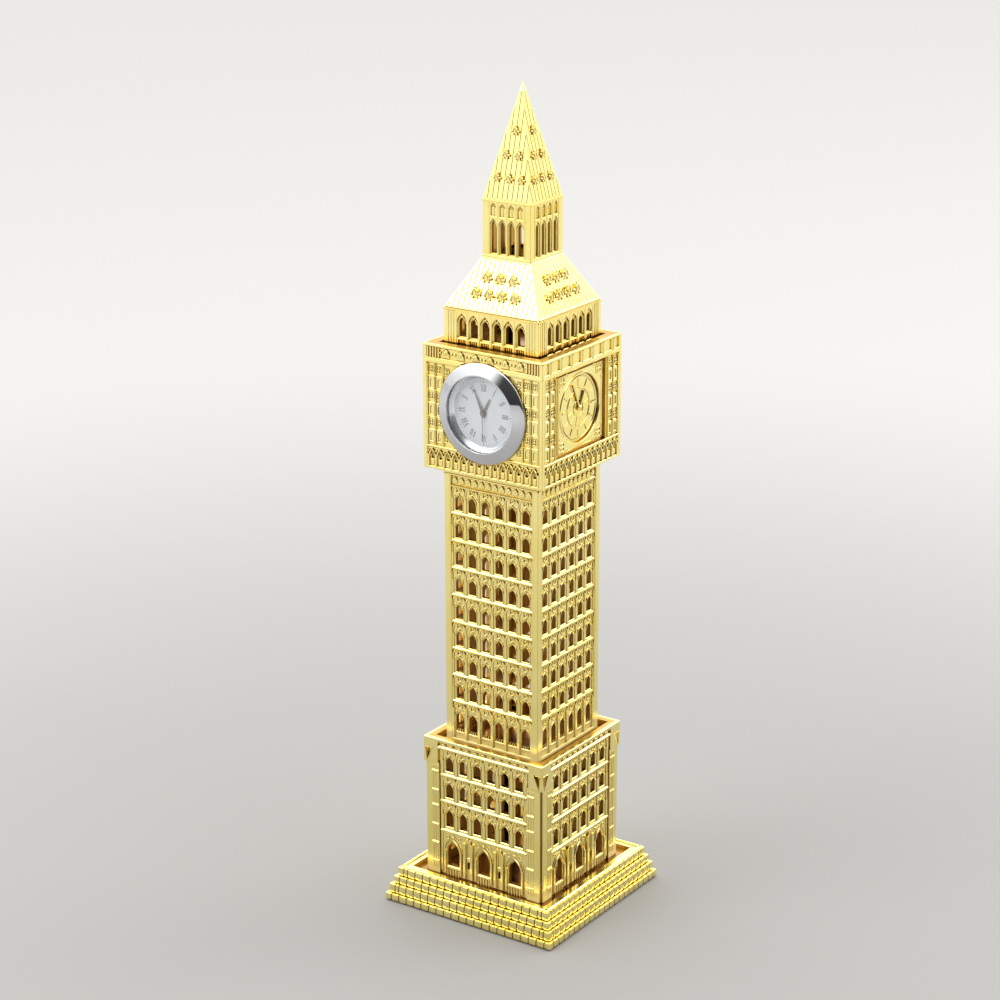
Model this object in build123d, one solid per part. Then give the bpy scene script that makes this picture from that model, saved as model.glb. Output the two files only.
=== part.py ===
"""Miniature clock tower souvenir: a gilt cast-metal tower built from mitred wall castings on a
stone-coursed plinth, with a small quartz clock insert pushed into the front of its clock stage."""
import math
import os
from build123d import *

os.makedirs("parts", exist_ok=True)

# ------------------------------------------------------------------ overall sizes, mm
overall_height = 225.0
base_width = 54.5
bezel_diameter = 27.0

# ------------------------------------------------------------------ castings
wall_thickness = 2.0        # shaft and belfry walls
stage_thickness = 2.4       # lower stage walls
clock_wall_thickness = 3.0  # clock stage walls, deep enough for the recessed plaques
lantern_thickness = 1.6
field_recess = 0.6          # depth of the window field behind posts and rims
deck_thickness = 1.5
ledge_depth = 0.9
locating_gap = 0.1          # locating rings inside the walls
foot_gap = 0.05             # base plate, felt and screws
running_gap = 0.05          # moving insert, arbors and pipes

# ------------------------------------------------------------------ derived tower sizes
h = overall_height / 225.0
w = base_width / 54.5
plinth_half = base_width / 2
plinth_top_half = 24.7 * w
lower_half = 19.28 * w
shaft_half = 14.85 * w
clock_half = 18.68 * w
belfry_half = 14.78 * w
lantern_half = 7.43 * w
tip_half = 0.6 * w
plinth_foot = 0.3
plinth_top = 9.56 * h
deck_drop = 1.2 * h
base_deck = plinth_top - deck_drop
lower_top = 48.3 * h
lower_deck_top = lower_top - 1.6 * h
clock_bottom = 124.65 * h
soffit_bottom = clock_bottom - 1.05 * h
clock_top = 158.3 * h
clock_deck_top = clock_top - 1.5 * h
belfry_top = 167.6 * h
roof_top = 180.4 * h
lantern_top = 195.5 * h
spire_top = 222.6 * h
insert_axis_z = 142.1 * h

# ------------------------------------------------------------------ small helpers


def sheet(outline, holes, back, front):
    """Flat casting facing -Y between y = -back and y = -front; outline and holes are (x, z) lists."""
    def ring(points):
        return Wire.make_polygon([Vector(x, -back, z) for x, z in points], close=True)
    face = Face(ring(outline), [ring(hole) for hole in holes])
    return extrude(face, amount=front - back, dir=(0, -1, 0))


def oblong(x0, x1, z0, z1):
    return [(x0, z0), (x1, z0), (x1, z1), (x0, z1)]


def lancet(xc, width, sill, spring, apex):
    """Pointed opening with straight jambs and a shouldered head."""
    half = width / 2
    shoulder = spring + (apex - spring) * 0.62
    return [(xc - half, sill), (xc + half, sill), (xc + half, spring), (xc + half * 0.62, shoulder),
            (xc, apex), (xc - half * 0.62, shoulder), (xc - half, spring)]


def quarter(reach, z0, z1):
    """Wedge that keeps one side of a square tower, so neighbouring walls meet in 45 degree mitres."""
    tri = Wire.make_polygon([Vector(0, 0, z0), Vector(reach, -reach, z0), Vector(-reach, -reach, z0)], close=True)
    return extrude(Face(tri), amount=z1 - z0, dir=(0, 0, 1))


def side_profile(points, reach):
    """Casting swept along X from a (y, z) section, for sloping panels."""
    wire = Wire.make_polygon([Vector(-reach, y, z) for y, z in points], close=True)
    return extrude(Face(wire), amount=2 * reach, dir=(1, 0, 0))


def block(half, z0, z1):
    return Pos(0, 0, (z0 + z1) / 2) * Box(2 * half, 2 * half, z1 - z0)


def four_sides(shape, names):
    for turn, name in enumerate(names):
        export_step(Rot(0, 0, 90 * turn) * shape, "parts/" + name + ".step")


def sides_of(stage):
    return [stage + "_" + side for side in ("front", "right", "back", "left")]


def ledge(half, z_top):
    return side_profile([(-half - 0.3, z_top), (-half + ledge_depth, z_top), (-half - 0.3, z_top - 1.6)], half + 0.3)


def row_centres(count, pitch):
    return [(i - (count - 1) / 2) * pitch for i in range(count)]


# ------------------------------------------------------------------ plinth
course_tops = [0.24, 0.50, 0.75, 1.0]
course_bottom = plinth_foot
plinth = None
for i, top in enumerate(course_tops):
    half = plinth_half + (plinth_top_half - plinth_half) * i / (len(course_tops) - 1)
    course = block(half, course_bottom, plinth_top * top)
    plinth = course if plinth is None else plinth + course
    course_bottom = plinth_top * top
felt_thickness = 0.7
plate_thickness = 1.2
plate_top = felt_thickness + plate_thickness
plate_half = plinth_half - 2.6
cavity_half = plate_half - 2.6
cavity_top = base_deck - 1.5
plinth -= block(plinth_top_half - 1.6 * w, base_deck, plinth_top + 1)
plinth -= block(plate_half + foot_gap, plinth_foot - 1, plate_top)
plinth -= block(cavity_half, plate_top - 0.01, cavity_top)
lower_inner = lower_half - stage_thickness
ring_outer = lower_inner - locating_gap
plinth += block(ring_outer, base_deck, base_deck + 1.6) - block(ring_outer - 1.5, base_deck, base_deck + 1.6)
screw_spot = cavity_half - 4.0
screw_radius = 0.95
screw_head_radius = 1.8
pilot_radius = screw_radius + foot_gap
spots = [(sx * screw_spot, sy * screw_spot) for sx in (-1, 1) for sy in (-1, 1)]
screw_end = cavity_top - 0.6
screws = []
plate = block(plate_half, felt_thickness, plate_top)
for x, y in spots:
    plinth += Pos(x, y, (plate_top + cavity_top) / 2) * Cylinder(2.6, cavity_top - plate_top)
for x, y in spots:
    plinth -= Pos(x, y, (plate_top + screw_end) / 2 + 0.05) * Cylinder(pilot_radius, screw_end - plate_top + 0.1)
    plate -= Pos(x, y, (felt_thickness + plate_top) / 2) * Cylinder(pilot_radius, plate_thickness + 0.2)
    plate -= Pos(x, y, felt_thickness + 0.4) * Cone(screw_head_radius + foot_gap, pilot_radius, 0.8)
    shank = Pos(x, y, (felt_thickness + screw_end) / 2) * Cylinder(screw_radius, screw_end - felt_thickness)
    head = Pos(x, y, felt_thickness + 0.4) * Cone(screw_head_radius, screw_radius, 0.8)
    slot_cut = Pos(x, y, felt_thickness) * Box(3.0, 0.5, 0.7)
    screws.append(shank + head - slot_cut)
export_step(plinth, "parts/plinth_casting.step")
export_step(plate, "parts/base_plate.step")
export_step(block(plate_half, 0, felt_thickness), "parts/felt_pad.step")
export_step(Compound(children=screws), "parts/base_screws.step")

# ------------------------------------------------------------------ lower stage
lower_field = 14.0 * w
rows = [21.3 * h, 30.0 * h, 37.7 * h, 45.5 * h]
lower_pitch = 4.54 * w
holes = []
for z_low, z_high in zip(rows, rows[1:]):
    tall = z_high - z_low
    for xc in row_centres(6, lower_pitch):
        holes.append(lancet(xc, 2.5 * w, z_low + 0.15 * tall, z_low + 0.5 * tall, z_low + 0.7 * tall))
for xc in row_centres(3, 10.1 * w):
    holes.append(lancet(xc, 3.9 * w, base_deck + 2.8 * h, 16.0 * h, 18.2 * h))
outline = oblong(-lower_half, lower_half, base_deck, lower_top)
panel = sheet(outline, holes, lower_inner, lower_half - field_recess)
fields = [oblong(-lower_field, lower_field, a + 0.9 * h, b) for a, b in zip(rows, rows[1:])]
fields.append(oblong(-lower_field, lower_field, base_deck + 2.5 * h, rows[0]))
panel += sheet(outline, fields, lower_half - field_recess, lower_half)
panel += ledge(lower_inner, lower_deck_top - deck_thickness)
four_sides(panel & quarter(lower_half + 2, base_deck - 1, lower_top + 1), sides_of("lower_wall"))

shaft_inner = shaft_half - wall_thickness
deck = block(lower_inner, lower_deck_top - deck_thickness, lower_deck_top)
deck += block(shaft_inner - locating_gap, lower_deck_top, lower_deck_top + 1.6)
deck -= block(shaft_inner - locating_gap - 1.5, lower_deck_top, lower_deck_top + 1.6)
export_step(deck, "parts/lower_deck.step")

# ------------------------------------------------------------------ shaft
shaft_field = 12.85 * w
string_first = 58.2 * h
string_last = 119.3 * h
storeys = 8
storey = (string_last - string_first) / storeys
shaft_pitch = 4.26 * w
holes = []
for level in range(storeys):
    sill = string_first + level * storey
    for xc in row_centres(6, shaft_pitch):
        holes.append(lancet(xc, 2.6 * w, sill + 0.16 * storey, sill + 0.5 * storey, sill + 0.68 * storey))
for xc in row_centres(6, shaft_pitch):
    holes.append(lancet(xc, 2.7 * w, lower_deck_top + 3.0 * h, 53.6 * h, 55.2 * h))
outline = oblong(-shaft_half, shaft_half, lower_deck_top, soffit_bottom)
panel = sheet(outline, holes, shaft_inner, shaft_half - field_recess)
fields = []
for level in range(storeys):
    sill = string_first + level * storey
    fields.append(oblong(-shaft_field, shaft_field, sill + 0.8 * h, sill + storey))
fields.append(oblong(-shaft_field, shaft_field, lower_deck_top + 2.0 * h, string_first))
panel += sheet(outline, fields, shaft_half - field_recess, shaft_half)
four_sides(panel & quarter(shaft_half + 2, lower_deck_top - 1, soffit_bottom + 1), sides_of("shaft_wall"))

# ------------------------------------------------------------------ clock stage
q = bezel_diameter / 27.0
hole_radius = 12.2 * q
seat_recess = 0.5
clock_inner = clock_half - clock_wall_thickness
outline = oblong(-clock_half, clock_half, clock_bottom, clock_top)
arcade_top = clock_bottom + 5.9 * h
frieze_bottom = clock_top - 4.2 * h
post = 1.3 * w
arcade = []
for xc in row_centres(14, 2.45 * w):
    arcade.append(lancet(xc, 1.7 * w, clock_bottom + 0.9 * h, arcade_top - 2.2 * h, arcade_top - 1.0 * h))
frieze = [oblong(xc - 1.8 * w, xc + 1.8 * w, frieze_bottom + 0.7 * h, clock_top - 0.9 * h)
          for xc in row_centres(7, 4.6 * w)]
back_face = clock_half - seat_recess
core = sheet(outline, [], clock_inner, back_face) + ledge(clock_inner, clock_deck_top - deck_thickness)
wedge = quarter(clock_half + 2, clock_bottom - 1, clock_top + 1)
columns = [oblong(s * 15.0 * w - 2.4 * w, s * 15.0 * w + 2.4 * w, arcade_top + 0.4 * h, frieze_bottom - 1.2 * h)
           for s in (-1, 1)]
middle = oblong(-11.9 * w, 11.9 * w, arcade_top + 0.4 * h, frieze_bottom - 0.6 * h)

insert_place = Pos(0, -clock_half, insert_axis_z)
clear_round = insert_place * Rot(90, 0, 0) * Cylinder((bezel_diameter / 2) + 0.4 * q, 2 * clock_wall_thickness)
front_layer = sheet(outline, arcade + frieze, back_face, clock_half) - clear_round
bore = insert_place * Rot(90, 0, 0) * Cylinder(hole_radius, 4 * clock_wall_thickness)
front_wall = ((core + front_layer) & wedge) - bore
export_step(front_wall, "parts/clock_wall_front.step")
plaque_recess = 2.1
side_wall = core + sheet(outline, arcade + frieze + columns + [middle], back_face, clock_half)
side_wall -= sheet(middle, [], clock_half - plaque_recess, clock_half + 1)
plaque_radius = 9.2 * w
plaque_z = (arcade_top + frieze_bottom) / 2
relief = Pos(0, -clock_half + plaque_recess, plaque_z) * Rot(90, 0, 0)
side_wall += relief * (Cylinder(plaque_radius, 1.2) - Cylinder(plaque_radius - 0.9, 1.3))
side_wall += relief * Cylinder(1.1, 1.4)
side_wall = side_wall & wedge
for turn, name in ((1, "right"), (2, "back"), (3, "left")):
    export_step(Rot(0, 0, 90 * turn) * side_wall, "parts/clock_wall_" + name + ".step")

soffit = block(clock_inner, clock_bottom, clock_bottom + deck_thickness)
soffit += block(clock_inner + 0.5, soffit_bottom, clock_bottom)
soffit += block(shaft_inner - locating_gap, soffit_bottom - 1.6, soffit_bottom)
soffit -= block(shaft_inner - locating_gap - 1.5, soffit_bottom - 1.6, soffit_bottom)
export_step(soffit, "parts/clock_soffit.step")
belfry_inner = belfry_half - wall_thickness
deck = block(clock_inner, clock_deck_top - deck_thickness, clock_deck_top)
deck += block(belfry_inner - locating_gap, clock_deck_top, clock_deck_top + 0.8)
deck -= block(belfry_inner - locating_gap - 1.5, clock_deck_top, clock_deck_top + 0.8)
export_step(deck, "parts/clock_deck.step")

# ------------------------------------------------------------------ belfry
outline = oblong(-belfry_half, belfry_half, clock_deck_top, belfry_top)
bays = row_centres(6, 3.62 * w)
holes = [lancet(xc, 2.3 * w, clock_deck_top + 3.3 * h, 163.9 * h, 165.2 * h) for xc in bays]
panels = [oblong(xc - 1.15 * w, xc + 1.15 * w, clock_deck_top + 1.0 * h, clock_deck_top + 2.8 * h) for xc in bays]
heads = [lancet(xc, 2.8 * w, clock_deck_top + 3.2 * h, 164.3 * h, 166.4 * h) for xc in bays]
panel = sheet(outline, holes, belfry_inner, belfry_half - field_recess)
panel += sheet(outline, panels + heads, belfry_half - field_recess, belfry_half)
four_sides(panel & quarter(belfry_half + 2, clock_deck_top - 1, belfry_top + 1), sides_of("belfry_wall"))

# ------------------------------------------------------------------ main roof, lantern, spire
lantern_inner = lantern_half - lantern_thickness
roof = side_profile([(-belfry_half, belfry_top), (-belfry_inner, belfry_top),
                     (-lantern_inner, roof_top - 1.4 * h), (-lantern_inner, roof_top), (-lantern_half, roof_top)],
                    belfry_half + 1)
eave = sheet(oblong(-belfry_half, belfry_half, belfry_top - 0.0, belfry_top + 0.5 * h), [],
             belfry_half - 0.8, belfry_half)
roof += eave
four_sides(roof & quarter(belfry_half + 2, belfry_top - 1, roof_top + 1), sides_of("roof_panel"))

outline = oblong(-lantern_half, lantern_half, roof_top, lantern_top)
bays = row_centres(4, 2.75 * w)
holes = [lancet(xc, 1.7 * w, roof_top + 1.0 * h, 188.6 * h, 190.0 * h) for xc in bays]
blind = [lancet(xc, 2.0 * w, 190.6 * h, 193.6 * h, 194.7 * h) for xc in bays]
heads = [lancet(xc, 2.1 * w, roof_top + 0.9 * h, 188.8 * h, 190.3 * h) for xc in bays]
panel = sheet(outline, holes, lantern_inner, lantern_half - 0.4)
panel += sheet(outline, blind + heads, lantern_half - 0.4, lantern_half)
four_sides(panel & quarter(lantern_half + 2, roof_top - 1, lantern_top + 1), sides_of("lantern_wall"))

pin_radius = 0.3
spire = side_profile([(-lantern_half, lantern_top), (-lantern_inner, lantern_top), (0, spire_top - 4.0 * h),
                      (0, spire_top), (-tip_half, spire_top)], lantern_half + 1)
spire = spire & quarter(lantern_half + 2, lantern_top - 1, spire_top + 1)
pin_depth = 2.0 * h
spire -= Pos(0, 0, spire_top - pin_depth / 2) * Cylinder(pin_radius + 0.02, pin_depth + 0.01)
four_sides(spire, sides_of("spire_panel"))
point_half = 0.04
cap = Sketch() + [Pos(0, 0, spire_top) * Rectangle(2 * tip_half, 2 * tip_half),
                  Pos(0, 0, overall_height) * Rectangle(2 * point_half, 2 * point_half)]
finial = loft(cap.faces())
finial += Pos(0, 0, spire_top - pin_depth / 2 + 0.1) * Cylinder(pin_radius, pin_depth - 0.2)
export_step(finial, "parts/finial.step")

# ------------------------------------------------------------------ clock insert
# Everything below is drawn about the insert axis: radius r against depth p, p positive outwards
# from the clock stage front plane, then turned so that p points along -Y.
bezel_radius = bezel_diameter / 2
lip_radius = 10.25 * q
glass_radius = 10.85 * q
case_radius = 11.5 * q
rear_radius = 10.0 * q
core_radius = 9.3 * q


def turned(points):
    """Ring or disc turned from (r, p) points, placed on the insert axis."""
    wire = Wire.make_polygon([Vector(r, 0, p) for r, p in points], close=True)
    solid = revolve(Face(wire), Axis.Z, 360)
    return insert_place * Rot(90, 0, 0) * solid


def disc(radius, p0, p1, bore_radius=0.0):
    return turned([(bore_radius, p0), (radius, p0), (radius, p1), (bore_radius, p1)])


def on_axis(shape, x=0.0, z=0.0):
    return Pos(x, 0, z) * shape


def slab(points, p0, p1):
    """Flat part of the movement from (x, z) points about the insert axis, between depths p0 and p1."""
    moved = [(x, z + insert_axis_z) for x, z in points]
    return sheet(moved, [], clock_half + p0, clock_half + p1)


seat_p = -seat_recess + running_gap
glass_p0 = 0.2 * q
glass_p1 = 1.2 * q
bezel_front = 1.7 * q
dial_p = -0.75 * q
dial_back = -1.15 * q
plate_front = -2.0 * q
plate_back = -2.6 * q
bridge_front = -5.6 * q
bridge_back = -6.0 * q
case_back = -7.4 * q
cover_back = -8.0 * q
bezel = turned([(bezel_radius, seat_p), (bezel_radius, 0.5 * q), (lip_radius, bezel_front), (lip_radius, glass_p1),
                (glass_radius + foot_gap, glass_p1), (glass_radius + foot_gap, seat_p)])
export_step(bezel, "parts/bezel.step")
export_step(disc(glass_radius, glass_p0, glass_p1), "parts/lens.step")
rehaut = turned([(glass_radius, glass_p0), (10.2 * q, glass_p0), (9.2 * q, dial_p), (glass_radius, dial_p)])
export_step(rehaut, "parts/rehaut_ring.step")
case = turned([(glass_radius + foot_gap, seat_p), (case_radius, seat_p), (case_radius, -3.3 * q),
               (rear_radius, -3.9 * q), (rear_radius, case_back), (9.4 * q, case_back), (9.4 * q, dial_back),
               (glass_radius + foot_gap, dial_back)])
stem_p = -6.6 * q
stem_radius = 0.3 * q
crown_radius = 0.7 * q
stem_place = Pos(0, -clock_half - stem_p, insert_axis_z) * Rot(0, 90, 0)
case -= stem_place * Pos(0, 0, 9.7 * q) * Cylinder(stem_radius + running_gap, 2.0 * q)
export_step(case, "parts/insert_case.step")
gasket = disc(hole_radius - running_gap, -2.8 * q, seat_p, case_radius)
export_step(gasket, "parts/gasket_ring.step")
cover = disc(rear_radius, cover_back, case_back) + disc(9.4 * q - foot_gap, case_back, case_back + 0.3 * q, 8.6 * q)
cover -= slab(oblong(-1.6 * q, 1.6 * q, -8.0 * q, -7.4 * q), cover_back, cover_back + 0.3 * q)
export_step(cover, "parts/back_cover.step")

arbor = 0.12 * q
pipe_in = arbor + running_gap
pipe_out = 0.36 * q
hour_pipe_in = pipe_out + running_gap
hour_pipe_out = 0.7 * q
dial_bore = hour_pipe_out + running_gap
export_step(disc(glass_radius, dial_back, dial_p, dial_bore), "parts/dial.step")


def wheel(teeth, tip, p0, p1, bore_radius, crossings=0):
    """Toothed wheel with pointed teeth and, when asked for, spoked crossings."""
    depth = min(0.22 * q, tip * 0.28)
    points = []
    for k in range(teeth):
        for part, radius in ((-0.30, tip - depth), (-0.12, tip), (0.12, tip), (0.30, tip - depth)):
            angle = 2 * math.pi * (k + part) / teeth
            points.append((radius * math.cos(angle), radius * math.sin(angle)))
    wire = Wire.make_polygon([Vector(x, y, p0) for x, y in points], close=True)
    solid = extrude(Face(wire), amount=p1 - p0, dir=(0, 0, 1))
    if bore_radius > 0:
        solid -= Pos(0, 0, (p0 + p1) / 2) * Cylinder(bore_radius, 2 * (p1 - p0))
    for k in range(crossings):
        spot = Rot(0, 0, 360 * (k + 0.5) / crossings) * Pos(tip * 0.56, 0, (p0 + p1) / 2)
        solid -= spot * Cylinder(tip * 0.22, 2 * (p1 - p0))
    return insert_place * Rot(90, 0, 0) * solid


mesh_gap = 0.03
third_x = -2.356 * q
third_z = 1.36 * q
fifth_x = 2.425 * q
fifth_z = -1.4 * q
rotor_x = 1.69 * q
rotor_z = -3.43 * q
motion_x = -1.3 * q
motion_z = -2.252 * q


def pair(distance, ratio):
    """Tip radii of a pinion and its wheel on a given centre distance, never quite touching."""
    pinion = (distance - mesh_gap) / (1 + ratio)
    return pinion, distance - mesh_gap - pinion


cannon_tip, motion_tip = pair(math.hypot(motion_x, motion_z), 3.0)
motion_pinion, hour_tip = pair(math.hypot(motion_x, motion_z), 4.0)
third_pinion, centre_tip = pair(math.hypot(third_x, third_z), 8.0)
fourth_pinion, third_tip = pair(math.hypot(third_x, third_z), 7.5)
fifth_pinion, fourth_tip = pair(math.hypot(fifth_x, fifth_z), 6.0)
rotor_pinion, fifth_tip = pair(math.hypot(rotor_x - fifth_x, rotor_z - fifth_z), 5.0)

pivot = 0.25 * q            # how far an arbor runs into its plate or bridge
back_end = bridge_front - pivot
front_end = plate_back + pivot
pivot_hole = arbor + running_gap
post_radius = 0.18 * q
fourth = disc(arbor, back_end, 0.02 * q)
fourth += wheel(60, fourth_tip, -4.5 * q, -4.3 * q, 0, 5) + wheel(8, fourth_pinion, -3.95 * q, -3.5 * q, 0)
export_step(fourth, "parts/fourth_wheel.step")
centre = disc(pipe_out, -3.1 * q, -0.12 * q, pipe_in)
centre += wheel(64, centre_tip, -3.0 * q, -2.8 * q, pipe_out - 0.05, 5)
centre += wheel(12, cannon_tip, -1.9 * q, -1.65 * q, pipe_out - 0.05)
export_step(centre, "parts/centre_wheel.step")
hour = disc(hour_pipe_out, -1.42 * q, -0.35 * q, hour_pipe_in)
hour += wheel(40, hour_tip, -1.42 * q, -1.25 * q, hour_pipe_out - 0.05)
export_step(hour, "parts/hour_wheel.step")
export_step(on_axis(wheel(60, third_tip, -3.8 * q, -3.6 * q, 0, 5) + wheel(8, third_pinion, -3.1 * q, -2.75 * q, 0)
                    + disc(arbor, back_end, front_end), third_x, third_z),
            "parts/third_wheel.step")
export_step(on_axis(wheel(40, fifth_tip, -5.1 * q, -4.9 * q, 0, 4) + wheel(10, fifth_pinion, -4.65 * q, -4.15 * q, 0)
                    + disc(arbor, back_end, front_end), fifth_x, fifth_z),
            "parts/fifth_wheel.step")
magnet_radius = 0.9 * q
export_step(on_axis(disc(magnet_radius, -4.2 * q, -3.6 * q) + wheel(8, rotor_pinion, -5.2 * q, -4.8 * q, 0)
                    + disc(arbor, back_end, front_end), rotor_x, rotor_z),
            "parts/rotor.step")
export_step(on_axis(wheel(36, motion_tip, -1.9 * q, -1.65 * q, post_radius + running_gap)
                    + wheel(10, motion_pinion, -1.65 * q, -1.22 * q, post_radius + running_gap), motion_x, motion_z),
            "parts/minute_wheel.step")

main_plate = disc(core_radius, plate_back, plate_front, pipe_out + running_gap)
main_plate += on_axis(disc(post_radius, plate_front, -1.3 * q), motion_x, motion_z)
for x, z in ((third_x, third_z), (fifth_x, fifth_z), (rotor_x, rotor_z)):
    main_plate -= on_axis(disc(pivot_hole, plate_back, front_end + running_gap), x, z)
export_step(main_plate, "parts/main_plate.step")
bridge = disc(core_radius, bridge_back, bridge_front)
for x, z in ((0, 0), (third_x, third_z), (fifth_x, fifth_z), (rotor_x, rotor_z)):
    bridge -= on_axis(disc(pivot_hole, back_end - running_gap, bridge_front), x, z)
for angle in (-5, 105, 215):
    x = 8.3 * q * math.cos(math.radians(angle))
    z = 8.3 * q * math.sin(math.radians(angle))
    bridge += on_axis(disc(0.6 * q, bridge_front, plate_back), x, z)
export_step(bridge, "parts/train_bridge.step")
battery = on_axis(disc(2.9 * q, -5.0 * q, -2.9 * q) + disc(2.3 * q, -5.2 * q, -5.0 * q), 4.25 * q, 4.25 * q)
export_step(battery, "parts/battery.step")
stator = slab([(-4.6 * q, -5.2 * q), (4.6 * q, -5.2 * q), (4.6 * q, -2.5 * q), (-1.0 * q, -2.5 * q),
               (-4.6 * q, -3.8 * q)], -4.1 * q, -3.7 * q)
stator -= on_axis(disc(magnet_radius + 0.12 * q, -4.3 * q, -3.5 * q), rotor_x, rotor_z)
export_step(stator, "parts/stator.step")
coil = slab(oblong(-3.6 * q, 3.6 * q, -7.0 * q, -5.3 * q), -4.7 * q, -3.0 * q)
coil += slab(oblong(-4.1 * q, -3.6 * q, -7.2 * q, -5.2 * q), -4.9 * q, -2.8 * q)
coil += slab(oblong(3.6 * q, 4.1 * q, -7.2 * q, -5.2 * q), -4.9 * q, -2.8 * q)
export_step(coil, "parts/coil.step")
board = disc(8.9 * q, bridge_back - 0.35 * q, bridge_back)
board = board & slab(oblong(-10 * q, 10 * q, -10 * q, -1.4 * q), bridge_back - 1.0 * q, bridge_back + 0.1 * q)
board += on_axis(disc(1.1 * q, bridge_back - 0.75 * q, bridge_back - 0.35 * q), -2.2 * q, -4.5 * q)
export_step(board, "parts/circuit_board.step")
crown_in = rear_radius + 0.3 * q
crown_out = hole_radius - 0.35 * q
crown = stem_place * Pos(0, 0, (7.4 * q + crown_in) / 2) * Cylinder(stem_radius, crown_in - 7.4 * q)
knurls = Wire.make_polygon(
    [Vector((crown_radius - 0.08 * q * (k % 2)) * math.cos(k * math.pi / 18),
            (crown_radius - 0.08 * q * (k % 2)) * math.sin(k * math.pi / 18), crown_in) for k in range(36)], close=True)
crown += stem_place * extrude(Face(knurls), amount=crown_out - crown_in, dir=(0, 0, 1))
export_step(crown, "parts/crown.step")

# ------------------------------------------------------------------ hands, set to about four minutes to one
minute_angle = -24.0
hour_angle = 28.0
second_angle = 178.0


def hand(length, tail, root, tip, p0, p1, boss, bore_radius, angle):
    points = [(-root, 0), (-root * 0.8, -tail), (root * 0.8, -tail), (root, 0), (tip, length), (-tip, length)]
    blade = slab(points, p0, p1) + disc(boss, p0, p1)
    if bore_radius > 0:
        blade -= disc(bore_radius, p0 - 0.1, p1 + 0.1)
    spin = insert_place * Rot(0, angle, 0) * Pos(0, clock_half, -insert_axis_z)
    return spin * blade


export_step(hand(4.6 * q, 1.0 * q, 0.42 * q, 0.16 * q, -0.55 * q, -0.42 * q, 0.95 * q, hour_pipe_out, hour_angle),
            "parts/hour_hand.step")
export_step(hand(6.6 * q, 1.2 * q, 0.34 * q, 0.12 * q, -0.3 * q, -0.18 * q, 0.7 * q, pipe_out, minute_angle),
            "parts/minute_hand.step")
export_step(hand(7.2 * q, 2.2 * q, 0.11 * q, 0.07 * q, -0.07 * q, 0.02 * q, 0.36 * q, arbor, second_angle),
            "parts/second_hand.step")
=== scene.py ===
# %% [markdown]
# # A gilt miniature clock tower
# This lesson dresses a small souvenir tower. Every stage of the tower is a hollow square made of four thin
# castings that meet in mitres, plated in pale gold. A little quartz clock is pushed into the front of the
# clock stage. The solid model gives the sizes; here each casting gets its tracery, ribs and stonework.

# %% Load the solid model
import bpy
import bmesh
import math
from mathutils import Matrix, Vector


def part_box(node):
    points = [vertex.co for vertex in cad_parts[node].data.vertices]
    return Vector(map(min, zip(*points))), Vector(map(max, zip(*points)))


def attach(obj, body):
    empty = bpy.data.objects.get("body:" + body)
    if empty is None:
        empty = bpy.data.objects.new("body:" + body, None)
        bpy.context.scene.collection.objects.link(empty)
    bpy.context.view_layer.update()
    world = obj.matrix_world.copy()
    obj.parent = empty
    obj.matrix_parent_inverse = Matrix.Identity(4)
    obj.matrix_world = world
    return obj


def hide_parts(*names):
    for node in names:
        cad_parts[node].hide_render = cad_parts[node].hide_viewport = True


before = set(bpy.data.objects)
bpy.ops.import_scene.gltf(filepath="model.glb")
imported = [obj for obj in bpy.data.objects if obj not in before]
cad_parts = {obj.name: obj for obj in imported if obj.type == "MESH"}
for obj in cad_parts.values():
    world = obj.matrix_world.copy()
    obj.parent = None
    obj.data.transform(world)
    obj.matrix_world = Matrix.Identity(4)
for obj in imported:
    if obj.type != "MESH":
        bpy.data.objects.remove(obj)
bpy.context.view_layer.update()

# %% [markdown]
# The camera comes first, so that every later step can be judged from the same place. It stands a little over
# two thirds of a metre away and looks slightly down at the corner between the clock face and the right-hand
# side. A long lens keeps the upright edges almost parallel, as is usual when a small object is shown.

# %% Camera
camera_place = Vector((0.37582, -0.55668, 0.33632))
camera_turn = 34.5353
camera_dip = 18.3342
camera_roll = -0.1204
lens_data = bpy.data.cameras.new("product_camera")
lens_data.lens = 96.06
lens_data.sensor_width = 36.0
camera = bpy.data.objects.new("product_camera", lens_data)
turned = Matrix.Rotation(math.radians(camera_turn), 4, "Z")
dipped = Matrix.Rotation(math.radians(90 - camera_dip), 4, "X")
rolled = Matrix.Rotation(math.radians(camera_roll), 4, "Z")
camera.matrix_world = Matrix.Translation(camera_place) @ turned @ dipped @ rolled
bpy.context.collection.objects.link(camera)
bpy.context.scene.camera = camera
print("camera at", [round(c, 3) for c in camera_place])

# %% [markdown]
# Plated castings are modelled from small overlapping shapes gathered in one mesh, as a pattern maker glues
# strips, buttons and frets onto a flat board before moulding. All of them are drawn in millimetres for a
# wall that faces the front: u runs to the right, z runs up, and depth is the distance out from the tower's
# axis. The helpers below add pierced sheets, bars, posts, blocks, bent wires, hoops and beads to a board.

# %% Pattern maker's helpers: sheets and bars
MM = 0.001


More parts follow.
